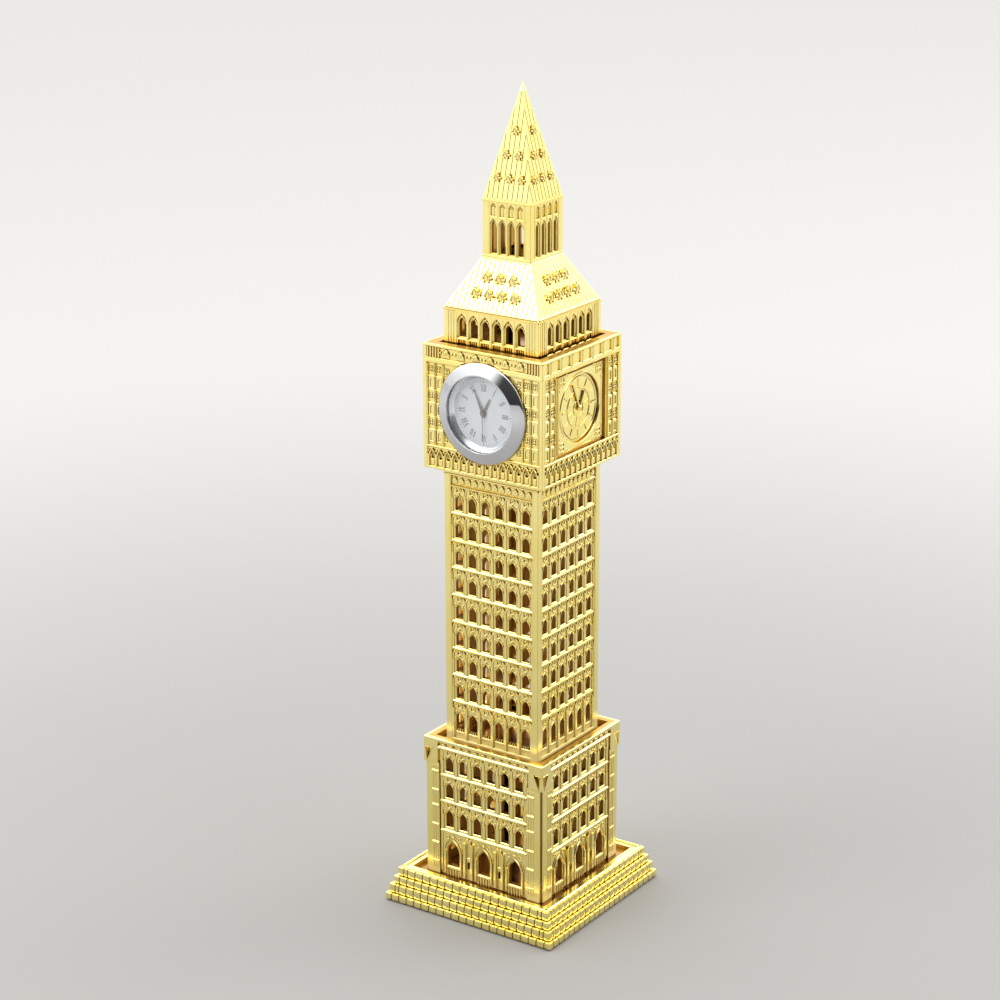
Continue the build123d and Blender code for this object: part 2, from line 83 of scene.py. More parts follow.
def pierced_sheet(board, outline, openings, back, front, soften=0.1):
    """A flat sheet with openings, edges softened as plating softens them."""
    drawing = bpy.data.curves.new("fret", "CURVE")
    drawing.dimensions = "2D"
    drawing.fill_mode = "BOTH"
    for loop in [outline] + list(openings):
        line = drawing.splines.new("POLY")
        line.points.add(len(loop) - 1)
        for point, (u, z) in zip(line.points, loop):
            point.co = (u, z, 0, 1)
        line.use_cyclic_u = True
    drawing.extrude = (front - back) / 2 - soften
    drawing.bevel_depth = soften
    drawing.bevel_resolution = 0
    drawing.offset = -soften
    holder = bpy.data.objects.new("fret", drawing)
    mesh = bpy.data.meshes.new_from_object(holder)
    middle = (front + back) / 2
    mesh.transform(Matrix(((1, 0, 0, 0), (0, 0, -1, -middle), (0, 1, 0, 0), (0, 0, 0, 1))))
    plate = bmesh.new()
    plate.from_mesh(mesh)
    bmesh.ops.remove_doubles(plate, verts=plate.verts[:], dist=0.001)
    plate.to_mesh(mesh)
    plate.free()
    board.from_mesh(mesh)
    bpy.data.objects.remove(holder)
    bpy.data.curves.remove(drawing)
    bpy.data.meshes.remove(mesh)


def prism(board, ring, push):
    """Close a ring of points and its pushed copy into a solid."""
    near = [board.verts.new(p) for p in ring]
    far = [board.verts.new(Vector(p) + Vector(push)) for p in ring]
    count = len(ring)
    board.faces.new(near)
    board.faces.new(list(reversed(far)))
    for i in range(count):
        j = (i + 1) % count
        board.faces.new((near[j], near[i], far[i], far[j]))


def bar(board, u0, u1, section):
    """A moulding run along u; its section is a list of (depth, z)."""
    prism(board, [(u0, -depth, z) for depth, z in section], (u1 - u0, 0, 0))


def post(board, plan, z0, z1):
    """An upright strip; its plan is a list of (u, depth)."""
    prism(board, [(u, -depth, z0) for u, depth in plan], (0, 0, z1 - z0))


def strip(u0, u1, back, front, edge=0.12):
    """Plan of an upright strip with eased front corners."""
    return [(u0, back), (u1, back), (u1, front - edge), (u1 - edge, front), (u0 + edge, front),
            (u0, front - edge)]


def uprights(board, places, half_width, back, front, z0, z1, edge=0.12):
    """Equal upright strips, one at each place along u."""
    for u in places:
        post(board, strip(u - half_width, u + half_width, back, front, edge), z0, z1)


def oblong(u0, u1, z0, z1):
    return [(u0, z0), (u1, z0), (u1, z1), (u0, z1)]


def block(board, x0, x1, y0, y1, z0, z1):
    """A plain square-edged block."""
    prism(board, [(x, y, z0) for x, y in oblong(x0, x1, y0, y1)], (0, 0, z1 - z0))


print("sheets, bars and posts are ready")

# %% Pattern maker's helpers: wires, beads and outlines


def wire(board, path, depth, radius, closed=False, sides=6):
    """Round wire laid along (u, z) points, half sunk at the given depth."""
    rings = []
    count = len(path)
    for i, (u, z) in enumerate(path):
        before = path[i - 1] if (i > 0 or closed) else path[i]
        after = path[(i + 1) % count] if (i < count - 1 or closed) else path[i]
        run = Vector((after[0] - before[0], 0, after[1] - before[1])).normalized()
        side = Vector((run.z, 0, -run.x))
        out = Vector((0, -1, 0))
        centre = Vector((u, -depth, z))
        ring = []
        for k in range(sides):
            angle = 2 * math.pi * k / sides
            ring.append(board.verts.new(centre + radius * (math.cos(angle) * side + math.sin(angle) * out)))
        rings.append(ring)
    for i in range(count if closed else count - 1):
        here, there = rings[i], rings[(i + 1) % count]
        for k in range(sides):
            m = (k + 1) % sides
            board.faces.new((here[k], here[m], there[m], there[k]))
    if not closed:
        board.faces.new(list(reversed(rings[0])))
        board.faces.new(rings[-1])


def bead(board, u, z, depth, radius, squash=0.7):
    """A small ball, flattened towards the wall by squash."""
    place = Matrix.Translation((u, -depth, z)) @ Matrix.Diagonal((1, squash, 1, 1))
    bmesh.ops.create_icosphere(board, subdivisions=2, radius=radius, matrix=place)


def round_path(u, z, radius, steps):
    angles = [2 * math.pi * k / steps for k in range(steps)]
    return [(u + radius * math.cos(a), z + radius * math.sin(a)) for a in angles]


def hoop(board, u, z, radius, depth, thick, steps=9, sides=5):
    """A closed ring of wire round the point (u, z)."""
    wire(board, round_path(u, z, radius, steps), depth, thick, closed=True, sides=sides)


def pointed(u, width, sill, spring, apex, steps=4):
    """Outline of a pointed opening, drawn with two curved shoulders."""
    half = width / 2
    right = []
    for k in range(1, steps):
        t = k / steps
        right.append((half * (1 - t ** 1.9), spring + (apex - spring) * t))
    left = [(-x, z) for x, z in reversed(right)]
    shape = [(-half, sill), (half, sill), (half, spring)] + right + [(0, apex)] + left + [(-half, spring)]
    return [(u + x, z) for x, z in shape]


def arch_line(u, width, spring, apex, steps=5):
    """The open line over a pointed head, from one springing to the other."""
    outline = pointed(u, width, spring - 1, spring, apex, steps)
    return outline[2:]


def spaced(count, pitch):
    """Evenly spaced places, the same on both sides of the middle."""
    return [(i - (count - 1) / 2) * pitch for i in range(count)]


print("wires, beads and outlines are ready")

# %% [markdown]
# ## The gold plating
# Bright gilding over a casting is a mirror with faults: thousands of tiny dents from the mould and slightly
# cloudy patches where fingers have been. A metal shader gives the mirror. Noise moves its roughness and
# tint, a finer noise dents it, and an ambient occlusion node paints shade into every corner, leading the
# colour from pale gold to a deeper amber there.

# %% Finish helpers


def new_finish(name):
    finish = bpy.data.materials.new(name)
    finish.use_nodes = True
    tree = finish.node_tree
    return finish, tree.nodes, tree.links, tree.nodes["Principled BSDF"]


def grain(nodes, links, scale, detail=3.0):
    place = nodes.new("ShaderNodeTexCoord")
    noise = nodes.new("ShaderNodeTexNoise")
    noise.inputs["Scale"].default_value = scale
    noise.inputs["Detail"].default_value = detail
    links.new(place.outputs["Object"], noise.inputs["Vector"])
    return noise.outputs["Fac"]


def rescaled(nodes, links, source, taken, given, smooth=False):
    """Map a number from the range taken onto the range given."""
    ranged = nodes.new("ShaderNodeMapRange")
    if smooth:
        ranged.interpolation_type = "SMOOTHSTEP"
    for socket, value in zip(("From Min", "From Max", "To Min", "To Max"), (*taken, *given)):
        ranged.inputs[socket].default_value = value
    links.new(source, ranged.inputs["Value"])
    return ranged.outputs["Result"]


def spread(nodes, links, source, low, high):
    """Stretch the middle of a noise over a range of plain numbers."""
    return rescaled(nodes, links, source, (0.3, 0.7), (low, high))


def blend_colours(nodes, links, amount, first, second):
    mix = nodes.new("ShaderNodeMix")
    mix.data_type = "RGBA"
    links.new(amount, mix.inputs["Factor"])
    for socket, colour in ((mix.inputs["A"], first), (mix.inputs["B"], second)):
        if isinstance(colour, tuple):
            socket.default_value = (*colour, 1)
        else:
            links.new(colour, socket)
    return mix.outputs["Result"]


def dented(nodes, links, shader, scale, strength, distance):
    bump = nodes.new("ShaderNodeBump")
    bump.inputs["Strength"].default_value = strength
    bump.inputs["Distance"].default_value = distance
    links.new(grain(nodes, links, scale, 4.0), bump.inputs["Height"])
    links.new(bump.outputs["Normal"], shader.inputs["Normal"])


print("finish helpers ready")

# %% [markdown]
# Three gildings come out of one recipe: the pale gold of the outer skin, the darker amber that paints shade
# on the sunk trays and decks, and the brown, cloudier gilding that paints shade on the inside. Each is two
# tints, a painted-shade corner colour and two glosses.

# %% Gold


def gilding(name, pale, warm, corner, smooth, cloudy):
    """Plating between two golds, with painted shade: an occlusion node leads it to a darker corner colour in
    corners and recesses.
    """
    finish, nodes, links, shader = new_finish(name)
    shader.inputs["Metallic"].default_value = 1.0
    tint = blend_colours(nodes, links, spread(nodes, links, grain(nodes, links, 90), 0, 1), pale, warm)
    # Painted shade: ambient occlusion darkens the base colour towards the corner colour in corners and
    # recesses.
    corners = nodes.new("ShaderNodeAmbientOcclusion")
    corners.inputs["Distance"].default_value = 1.6 * MM
    corners.samples = 6
    painted_shade_mask = spread(nodes, links, corners.outputs["AO"], 0, 1)
    links.new(blend_colours(nodes, links, painted_shade_mask, corner, tint), shader.inputs["Base Color"])
    links.new(spread(nodes, links, grain(nodes, links, 260), smooth, cloudy), shader.inputs["Roughness"])
    dented(nodes, links, shader, 1500, 0.12, 0.04 * MM)
    return finish


pale_recipe = ((1.0, 0.88, 0.38), (0.97, 0.82, 0.27), (0.55, 0.34, 0.04), 0.15, 0.26)
gold = gilding("pale_gilding", *pale_recipe)
# Painted shade: a darker amber gilding for the sunk trays and decks.
tray_shade_recipe = ((0.42, 0.23, 0.07), (0.31, 0.16, 0.04), (0.14, 0.06, 0.01), 0.12, 0.22)
gold_deck_painted_shade = gilding("amber_tray_painted_shade_gilding", *tray_shade_recipe)
# Painted shade: a brown, cloudy gilding for the faces behind the outer skin, so that openings read dark.
inner_shade_recipe = ((0.66, 0.41, 0.11), (0.50, 0.29, 0.06), (0.26, 0.13, 0.02), 0.35, 0.50)
gold_inside_painted_shade = gilding("inner_painted_shade_gilding", *inner_shade_recipe)
print("gilding:", gold.name, gold_deck_painted_shade.name, gold_inside_painted_shade.name)

# %% [markdown]
# The lower stage and the shaft both stand in a tray, and their feet are noticeably paler than the rest.
# That pale band is a painted highlight: the same gilding with its metal fading away over the last few
# millimetres, so that its pale colour scatters light instead of mirroring the tray.

# %% Painted highlight on the feet


def painted_highlight_foot(finish, foot, reach):
    """Painted highlight: fade a gilding from plain pale colour to bare metal, from the foot of a wall up to
    its reach, in millimetres.
    """
    nodes = finish.node_tree.nodes
    links = finish.node_tree.links
    place = nodes.new("ShaderNodeTexCoord")
    split = nodes.new("ShaderNodeSeparateXYZ")
    links.new(place.outputs["Object"], split.inputs["Vector"])
    # Painted highlight: metal fades to zero at the foot, so the pale base colour shows brighter there.
    heights = (foot * MM, (foot + reach) * MM)
    metal = rescaled(nodes, links, split.outputs["Z"], heights, (0.0, 1.0), smooth=True)
    links.new(metal, nodes["Principled BSDF"].inputs["Metallic"])


gold_highlit_feet = {}
for stage, reach in (("lower_wall", 8.0), ("shaft_wall", 7.0)):
    gold_highlit_feet[stage] = gilding("highlit_gilding_" + stage, *pale_recipe)
    painted_highlight_foot(gold_highlit_feet[stage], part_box(stage + "_front")[0][2] / MM, reach)
print("painted highlight feet:", ", ".join(gold_highlit_feet))

# %% [markdown]
# The four sides of a stage are the same casting used four times, so one board is finished and then turned in
# quarter turns. Before that its two ends are cut back to 45 degrees by sliding the end points inwards with
# depth, which leaves the fine open seam that shows on the real arrises. Every face deeper than the outer
# skin takes a second, brown and cloudy finish, which is painted shade: that is what makes the windows read
# as dark openings.

# %% Finishing a board into four castings
SIDES = ("front", "right", "back", "left")


def quarter_turns(count):
    return Matrix.Rotation(math.radians(90 * count), 4, "Z")


def mitre(board, half, reach=1.1):
    """Slide the ends of a board inwards with depth, so that four boards meet at 45 degrees."""
    for v in board.verts:
        if abs(v.co.x) > half - reach:
            behind = max(0.0, half + v.co.y)
            v.co.x -= math.copysign(behind, v.co.x)


def face_outwards(board):
    bmesh.ops.recalc_face_normals(board, faces=board.faces)


def cast(board, name, nodes_it_replaces, body="tower", finish=None, quarter=0, sharp=32,
         skin=None):
    """Turn a board into a piece; faces less deep than skin, in millimetres from the axis, take the brown
    painted-shade finish.
    """
    mesh = bpy.data.meshes.new(name)
    board.to_mesh(mesh)
    mesh.materials.append(finish or gold)
    if skin is not None:
        # Painted shade: faces behind the skin take the brown inner gilding.
        mesh.materials.append(gold_inside_painted_shade)
        for face in mesh.polygons:
            face.material_index = 1 if -face.center.y < skin else 0
    mesh.transform(quarter_turns(quarter) @ Matrix.Scale(MM, 4))
    mesh.shade_smooth()
    mesh.set_sharp_from_angle(angle=math.radians(sharp))
    piece = bpy.data.objects.new(name, mesh)
    bpy.context.collection.objects.link(piece)
    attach(piece, body)
    if nodes_it_replaces:
        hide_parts(*nodes_it_replaces)
    return piece


def four_castings(board, stage, skin, sides=SIDES):
    """Cast a board once for each side, and put the board away."""
    face_outwards(board)
    for side in sides:
        cast(board, stage + "_" + side + "_casting", [stage + "_" + side], finish=gold_highlit_feet.get(stage),
             quarter=SIDES.index(side), skin=skin)
    print(stage, "castings:", len(board.faces), "faces each")
    board.free()


def stage_sizes(node):
    """Half width, bottom and top of a wall in millimetres, read from the solid model."""
    low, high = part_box(node)
    return high[0] / MM, low[2] / MM, high[2] / MM


print("sides:", ", ".join(SIDES))

# %% [markdown]
# ## The plinth
# The tower stands on four courses of rusticated stone, each course stepping out below the last. A mason's
# stones are pillowed, so every block is a small box with heavily rounded edges set against a plain core, and
# the joints of neighbouring courses are staggered. A raised kerb runs round a sunk, shadowy tray.

# %% Plinth stones
plinth_top = stage_sizes("plinth_casting")[2]
course_levels = [0.3, 2.35, 4.95, 7.15, 9.56]
step_out = [27.25, 26.45, 25.6, 24.7]
core_setback = 0.55
core_wide = 2.4
corner_stone = 2.0
stone_deep = 2.2
usual_length = 2.5
shortest_stone = 0.6
joint = 0.05


def set_into(board, part, turn):
    """Move a finished small board onto a bigger one."""
    scratch = bpy.data.meshes.new("scratch")
    part.to_mesh(scratch)
    part.free()
    scratch.transform(turn)
    board.from_mesh(scratch)
    bpy.data.meshes.remove(scratch)


def stone(board, x0, x1, y0, y1, z0, z1, ease=0.42):
    """One pillowed block: a box whose edges are eased twice."""
    size = (x1 - x0, y1 - y0, z1 - z0)
    middle = Vector(((x0 + x1) / 2, (y0 + y1) / 2, (z0 + z1) / 2))
    pillow = bmesh.new()
    bmesh.ops.create_cube(pillow, size=1.0, matrix=Matrix.Diagonal((*size, 1)))
    bmesh.ops.bevel(pillow, geom=pillow.edges[:], offset=min(ease, min(size) * 0.33), segments=2,
                    profile=0.6, affect="EDGES", clamp_overlap=True)
    set_into(board, pillow, Matrix.Translation(middle))


def stone_ends(half, staggered):
    """Where the stones of one lane begin and end, with the joints shifted by half a stone if staggered."""
    start = -half + corner_stone
    count = round(-2 * start / usual_length)
    length = -2 * start / count
    first = start + (length / 2 if staggered else 0.0)
    inner = [first + k * length for k in range(count + 1)]
    return [start] + [e for e in inner if abs(e) < -start - shortest_stone] + [-start]


board = bmesh.new()
for course, (z0, z1, half) in enumerate(zip(course_levels, course_levels[1:], step_out)):
    core = half - core_setback
    core_in = core - core_wide
    for s in (-1, 1):
        near, far = sorted((s * core_in, s * core))
        block(board, -core, core, near, far, z0, z1 - 0.02)
        block(board, near, far, -core_in - 0.01, core_in + 0.01, z0, z1 - 0.02)
    ends = stone_ends(half, course % 2 == 1)
    for side in range(4):
        lane = bmesh.new()
        for e0, e1 in zip(ends, ends[1:]):
            stone(lane, e0 + joint, e1 - joint, -half, -half + stone_deep, z0 + joint, z1 - joint)
        stone(lane, half - corner_stone + joint, half, -half, -half + corner_stone - joint, z0 + joint,
              z1 - joint)
        set_into(board, lane, quarter_turns(side))
face_outwards(board)
cast(board, "plinth_stonework", ["plinth_casting"], sharp=50)
print("plinth:", len(board.faces), "faces")
board.free()

# %% Plinth tray
tray_half = 23.1
tray_thick = 1.5
kerb_wide = 1.0
tray_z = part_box("lower_wall_front")[0][2] / MM
board = bmesh.new()
block(board, -tray_half - 1, tray_half + 1, -tray_half - 1, tray_half + 1, tray_z - tray_thick, tray_z)
face_outwards(board)
# Painted shade: the sunk tray takes the dark amber gilding.
cast(board, "plinth_tray", [], finish=gold_deck_painted_shade)
board.free()

kerb_in = tray_half + 0.05
kerb_out = tray_half + kerb_wide
kerb_section = [(kerb_in, tray_z - 0.2), (kerb_out, tray_z - 0.2), (kerb_out, plinth_top - 0.25),
                (kerb_out - 0.25, plinth_top - 0.05), (kerb_in + 0.2, plinth_top - 0.05),
                (kerb_in, plinth_top - 0.25)]
board = bmesh.new()
for side in range(4):
    kerb = bmesh.new()
    bar(kerb, -tray_half - 0.9, tray_half + 0.9, kerb_section)
    set_into(board, kerb, quarter_turns(side))
face_outwards(board)
cast(board, "plinth_kerb", [])
board.free()
print("tray at", round(tray_z, 2), "mm")

# %% [markdown]
# ## The lower stage
# Three arches stand at the bottom, with three storeys of pointed windows over them, all between heavy corner
# posts. The sheet behind carries the real openings. In front of it lie the string courses, whose sloping
# tops catch the light, the wire-thin hoods over each window, and studded strips beside the corners.

# %% Window hoods
def window_bay(board, u, pitch, z0, z1, width, depth, sill, spring, apex):
    """Everything round one window: hood, jamb shafts, rosette, cusps in the head, and a sill."""
    half = pitch / 2
    jamb = width / 2 + 0.28
    head = (apex + z1) / 2 + 0.05 * (z1 - z0)
    ring = min(half * 0.36, (z1 - apex) * 0.42)
    wire(board, arch_line(u, width + 0.6, spring - 0.1, apex + 0.5), depth + 0.08, 0.2)
    uprights(board, (u - jamb, u + jamb), 0.15, depth - 0.3, depth + 0.12, z0 + 0.75, spring, 0.08)
    hoop(board, u, head, ring, depth + 0.12, 0.18, 12)
    bead(board, u, head, depth + 0.05, 0.26)
    for s in (-1, 1):
        cusp = [(u + s * half, spring + 0.2), (u + s * half * 0.93, head - 0.25),
                (u + s * half * 0.62, head + ring * 0.9), (u + s * half * 0.2, z1 - 0.1)]
        wire(board, cusp, depth + 0.14, 0.19, sides=5)
        bead(board, u + s * half * 0.62, apex + 0.05, depth + 0.02, 0.25, 0.6)
    sill_half = width / 2 + 0.1
    bar(board, u - sill_half, u + sill_half,
        [(depth - 0.3, sill - 0.35), (depth + 0.12, sill - 0.35), (depth + 0.12, sill - 0.1),
         (depth - 0.02, sill + 0.04), (depth - 0.3, sill + 0.04)])


def string_course(board, half, z, back, front, tall):
    """A moulding with a sloping top and a hollow under it."""
    bar(board, -half, half, [(back, z - 0.25), (front - 0.25, z - 0.2), (front, z + 0.02), (front, z + 0.32),
                             (front - 0.22, z + 0.6 * tall), (front - 0.42, z + tall), (back, z + tall)])


print("window bay helper ready")

# %% Lower stage walls
lower_half, lower_bottom, lower_top = stage_sizes("lower_wall_front")
lower_back = lower_half - 2.4
lower_plane = lower_half - 0.75
lower_skin = lower_plane - 0.2
lower_pitch = 4.54
lower_window = 2.4
lower_bays = spaced(6, lower_pitch)
# Each row is given by its bottom and top, then the sill, springing and apex of its windows.
rows = [(21.3, 30.0, 22.7, 26.2, 27.6), (30.0, 37.7, 31.3, 34.3, 35.5), (37.7, 45.5, 39.1, 42.1, 43.2)]
rows_top = rows[-1][1]
arches = spaced(3, 10.1)
slits = spaced(2, 10.1)
board = bmesh.new()
openings = [pointed(u, lower_window, *window) for _, _, *window in rows for u in lower_bays]
openings += [pointed(u, 3.9, 11.2, 15.9, 18.3, 5) for u in arches]
openings += [pointed(u, 0.9, 11.6, 13.2, 13.9, 3) for u in slits]
sheet = oblong(-lower_half, lower_half, lower_bottom, lower_top - 0.05)
pierced_sheet(board, sheet, openings, lower_back, lower_plane)
for z0, z1, sill, spring, apex in rows:
    string_course(board, 14.1, z0, lower_skin, lower_half - 0.1, 0.7)
    for u in lower_bays:
        window_bay(board, u, lower_pitch, z0, z1, lower_window, lower_plane, sill, spring, apex)
    uprights(board, spaced(7, lower_pitch), 0.42, lower_skin, lower_plane + 0.38, z0 + 0.6, spring + 0.4)
string_course(board, 14.9, rows_top, lower_skin, lower_half + 0.02, 0.7)
print("lower stage:", len(rows), "rows of", len(lower_bays), "windows")

# %% Lower stage arches, legs and frieze
leg_foot = 9.2
spring_line = 15.9
for u in arches:
    wire(board, arch_line(u, 4.7, spring_line - 0.3, 19.1, 7), lower_plane + 0.15, 0.3)
    wire(board, arch_line(u, 5.9, spring_line, 20.4, 7), lower_plane + 0.05, 0.2)
    bead(board, u, 19.9, lower_plane + 0.1, 0.38)
    uprights(board, (u - 2.55, u + 2.55), 0.3, lower_skin, lower_half - 0.15, leg_foot, spring_line)
    for s in (-1, 1):
        hoop(board, u + s * 1.9, 19.7, 0.5, lower_plane + 0.05, 0.14, 10)
    bar(board, u - 2.3, u + 2.3, [(lower_skin, 10.5), (lower_plane + 0.3, 10.5), (lower_plane + 0.3, 10.95),
                                  (lower_plane + 0.1, 11.15), (lower_skin, 11.15)])
    balusters = [u + k for k in spaced(5, 0.9)]
    uprights(board, balusters, 0.18, lower_plane - 0.1, lower_plane + 0.35, lower_bottom, 10.6, 0.08)
for u in slits:
    uprights(board, (u - 1.15, u + 1.15), 0.4, lower_skin, lower_half - 0.02, leg_foot - 0.2, 19.4)
    pierced_sheet(board, oblong(u - 0.75, u + 0.75, 14.4, 20.6), [pointed(u, 0.75, 15.2, 18.6, 19.6, 3)],
                  lower_plane - 0.3, lower_plane + 0.25, 0.08)
    wire(board, arch_line(u, 1.9, 18.9, 20.6, 4), lower_plane + 0.3, 0.2)

corner_edge = 14.75
cap_low = 41.0
band_low = 47.35
cap_ring = [(-lower_half, cap_low), (-corner_edge, cap_low), (-corner_edge, band_low),
            (corner_edge, band_low), (corner_edge, cap_low), (lower_half, cap_low),
            (lower_half, lower_top), (-lower_half, lower_top)]
wedges = [[(s * 18.7, 45.4), (s * 16.4, 45.4), (s * 18.2, 41.5)] for s in (-1, 1)]
pierced_sheet(board, cap_ring, wedges, lower_skin, lower_half, 0.12)
for wedge in wedges:
    wire(board, wedge, lower_half, 0.16, closed=True, sides=5)
for u in spaced(11, 2.62):
    leaf = pointed(u, 1.5, 46.25, 46.7, 47.3, 3)
    pierced_sheet(board, leaf, [], lower_plane - 0.1, lower_plane + 0.4, 0.12)
    bead(board, u, 46.75, lower_plane + 0.4, 0.28, 0.6)
print("lower stage arches and frieze")

# %% Lower stage corner posts
chamfer = 0.9
post_edge = 14.3
post_front = lower_half - 0.12
middle_shaft = 15.55
for s in (-1, 1):
    plan = [(post_edge, lower_back), (post_edge, post_front), (lower_half - chamfer, post_front),
            (lower_half - chamfer / 2, lower_half - chamfer / 2), (lower_back, lower_back)]
    post(board, [(s * u, depth) for u, depth in plan], lower_bottom + 0.05, cap_low + 0.3)
    shafts = [s * middle_shaft + k for k in spaced(3, 0.8)]
    uprights(board, shafts, 0.14, lower_half - 0.4, lower_half + 0.06, 10.2, 40.4, 0.1)
    for z in (12.0, 17.6, 23.0, 28.7, 33.2, 38.8):
        bar(board, s * middle_shaft - 1.1, s * middle_shaft + 1.1,
            [(lower_half - 0.5, z - 0.45), (lower_half + 0.05, z - 0.35), (lower_half + 0.12, z),
             (lower_half - 0.15, z + 0.45), (lower_half - 0.5, z + 0.5)])
uprights(board, (-13.9, 13.9), 0.35, lower_skin, lower_plane + 0.3, 9.4, rows_top)
mitre(board, lower_half, 1.0)
four_castings(board, "lower_wall", lower_skin)

# %% [markdown]
# ## The shaft
# Eight equal storeys climb the shaft, over one taller row that stands in the tray. The rhythm is what the
# eye reads, so the whole face is a loop over rows and bays. The corner posts are plain, with one fine rib.

# %% Shaft walls
shaft_half, shaft_bottom, shaft_top = stage_sizes("shaft_wall_front")
shaft_back = shaft_half - 2.0
shaft_plane = shaft_half - 0.6
shaft_skin = shaft_plane - 0.2
shaft_field = 12.95
shaft_pitch = 4.26
shaft_bays = spaced(6, shaft_pitch)
shaft_strips = spaced(7, shaft_pitch)
first_string = 58.2
last_string = 119.3
storey = (last_string - first_string) / 8
levels = [first_string + k * storey for k in range(8)]
board = bmesh.new()
openings = [pointed(u, 2.3, z + 1.0, z + 3.7, z + 5.1) for z in levels for u in shaft_bays]
openings += [pointed(u, 2.6, 49.6, 53.8, 55.2) for u in shaft_bays]
sheet = oblong(-shaft_half, shaft_half, shaft_bottom, shaft_top)
pierced_sheet(board, sheet, openings, shaft_back, shaft_plane)
for z in levels:
    string_course(board, shaft_field, z, shaft_skin, shaft_half, 0.62)
    for u in shaft_bays:
        window_bay(board, u, shaft_pitch, z, z + storey, 2.3, shaft_plane, z + 1.0, z + 3.7, z + 5.1)
    uprights(board, shaft_strips, 0.4, shaft_skin, shaft_plane + 0.32, z + 0.5, z + 4.6)
for u in shaft_bays:
    window_bay(board, u, shaft_pitch, 47.4, first_string, 2.6, shaft_plane, 49.6, 53.8, 55.2)
    balusters = [u + k for k in spaced(3, 0.75)]
    uprights(board, balusters, 0.13, shaft_plane - 0.6, shaft_plane + 0.05, 47.2, 50.3, 0.05)
uprights(board, shaft_strips, 0.45, shaft_skin, shaft_plane + 0.5, 47.2, 56.4)
print("shaft rows", len(levels) + 1)

# %% Shaft posts, frieze and rim
pierced_sheet(board, sheet, [oblong(-12.85, 12.85, shaft_bottom + 1.0, 122.3)], shaft_skin, shaft_half, 0.14)
string_course(board, shaft_field, last_string, shaft_skin, shaft_half + 0.02, 0.55)
for u in spaced(12, 2.13):
    leaf = pointed(u, 1.45, 120.2, 121.2, 122.0, 3)
    pierced_sheet(board, leaf, [], shaft_plane - 0.1, shaft_plane + 0.38, 0.12)
    bead(board, u, 120.95, shaft_plane + 0.34, 0.3, 0.6)
uprights(board, (-13.2, 13.2), 0.14, shaft_half - 0.3, shaft_half + 0.1, 57.0, 122.4, 0.08)
string_course(board, shaft_half, 122.5, shaft_plane, shaft_half + 0.25, 0.6)
mitre(board, shaft_half)
four_castings(board, "shaft_wall", shaft_skin)

# %% [markdown]
# ## The clock stage
# The widest stage overhangs the shaft. Its front carries only ornament round the bore for the clock: an
# arcade of little arches below, columns of small panels with four-lobed flowers either side, and a frieze
# of balusters and shields above. The other three sides have a sunk square plaque with a dial in relief.

# %% Clock stage ornament
clock_half, clock_bottom, clock_top = stage_sizes("clock_wall_front")
clock_back = clock_half - 3.0
clock_plane = clock_half - 0.5
clock_under = clock_plane - 0.1
insert_low, insert_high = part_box("bezel")
insert_z = (insert_low[2] + insert_high[2]) / 2 / MM
bezel_radius = (insert_high[0] - insert_low[0]) / 2 / MM
arcade_top = 130.6
arcade_pitch = 2.46
frieze_low, frieze_high = 154.8, 157.6
column_low, column_high = 131.3, 153.0


def flower(board, u, z, size, depth):
    """Four-lobed flower: four rings round a bead."""
    for k in range(4):
        a = math.radians(45 + 90 * k)
        lobe_u = u + size * 0.5 * math.cos(a)
        lobe_z = z + size * 0.5 * math.sin(a)
        hoop(board, lobe_u, lobe_z, size * 0.42, depth, size * 0.13)
    bead(board, u, z, depth, size * 0.24)


def clock_borders(board):
    """The rims, posts, arcade and frieze that all four clock stage walls share."""
    gaps = ((clock_bottom + 0.7, arcade_top - 0.1), (154.75, 157.55), (arcade_top + 0.45, 153.3))
    pierced_sheet(board, oblong(-clock_half, clock_half, clock_bottom, clock_top),
                  [oblong(-17.5, 17.5, z0, z1) for z0, z1 in gaps], clock_under, clock_half, 0.14)
    for z, stand, tall in ((157.75, 0.12, 0.5), (153.75, 0.05, 0.75)):
        string_course(board, clock_half - 0.3, z, clock_plane, clock_half + stand, tall)
    for u in spaced(14, arcade_pitch):
        wire(board, arch_line(u, 1.7, 128.3, 129.9, 4), clock_plane + 0.3, 0.24)
        wire(board, arch_line(u, 0.7, 127.9, 128.9, 3), clock_plane + 0.15, 0.14, sides=5)
        panel = oblong(u - 0.55, u + 0.55, 125.6, 127.2)
        pierced_sheet(board, panel, [], clock_under, clock_plane + 0.18, 0.08)
    for u in spaced(15, arcade_pitch):
        post(board, strip(u - 0.3, u + 0.3, clock_under, clock_half + 0.08), 125.4, 128.6)
        bead(board, u, 129.4, clock_plane + 0.25, 0.3)


def small_panel_columns(board):
    """Two columns at either end of the wall: panels and flowers in turn, stacked between thin rails."""
    for u in (-16.1, -13.65, 13.65, 16.1):
        rails = (u - 1.2, u + 1.2)
        uprights(board, rails, 0.16, clock_under, clock_half + 0.02, column_low, column_high, 0.08)
        for k in range(6):
            z = column_low + 2.1 + k * 3.62
            if k % 2:
                flower(board, u, z, 1.0, clock_plane + 0.12)
            else:
                niche = pointed(u, 1.0, z - 1.2, z + 0.5, z + 1.2, 3)
                pierced_sheet(board, oblong(u - 0.9, u + 0.9, z - 1.7, z + 1.7), [niche], clock_under,
                              clock_plane + 0.3, 0.08)
            bar(board, u - 1.1, u + 1.1, [(clock_under, z + 1.75), (clock_plane + 0.35, z + 1.75),
                                          (clock_plane + 0.1, z + 2.0), (clock_under, z + 2.0)])


print("clock axis at", round(insert_z, 2), "bezel radius", bezel_radius)

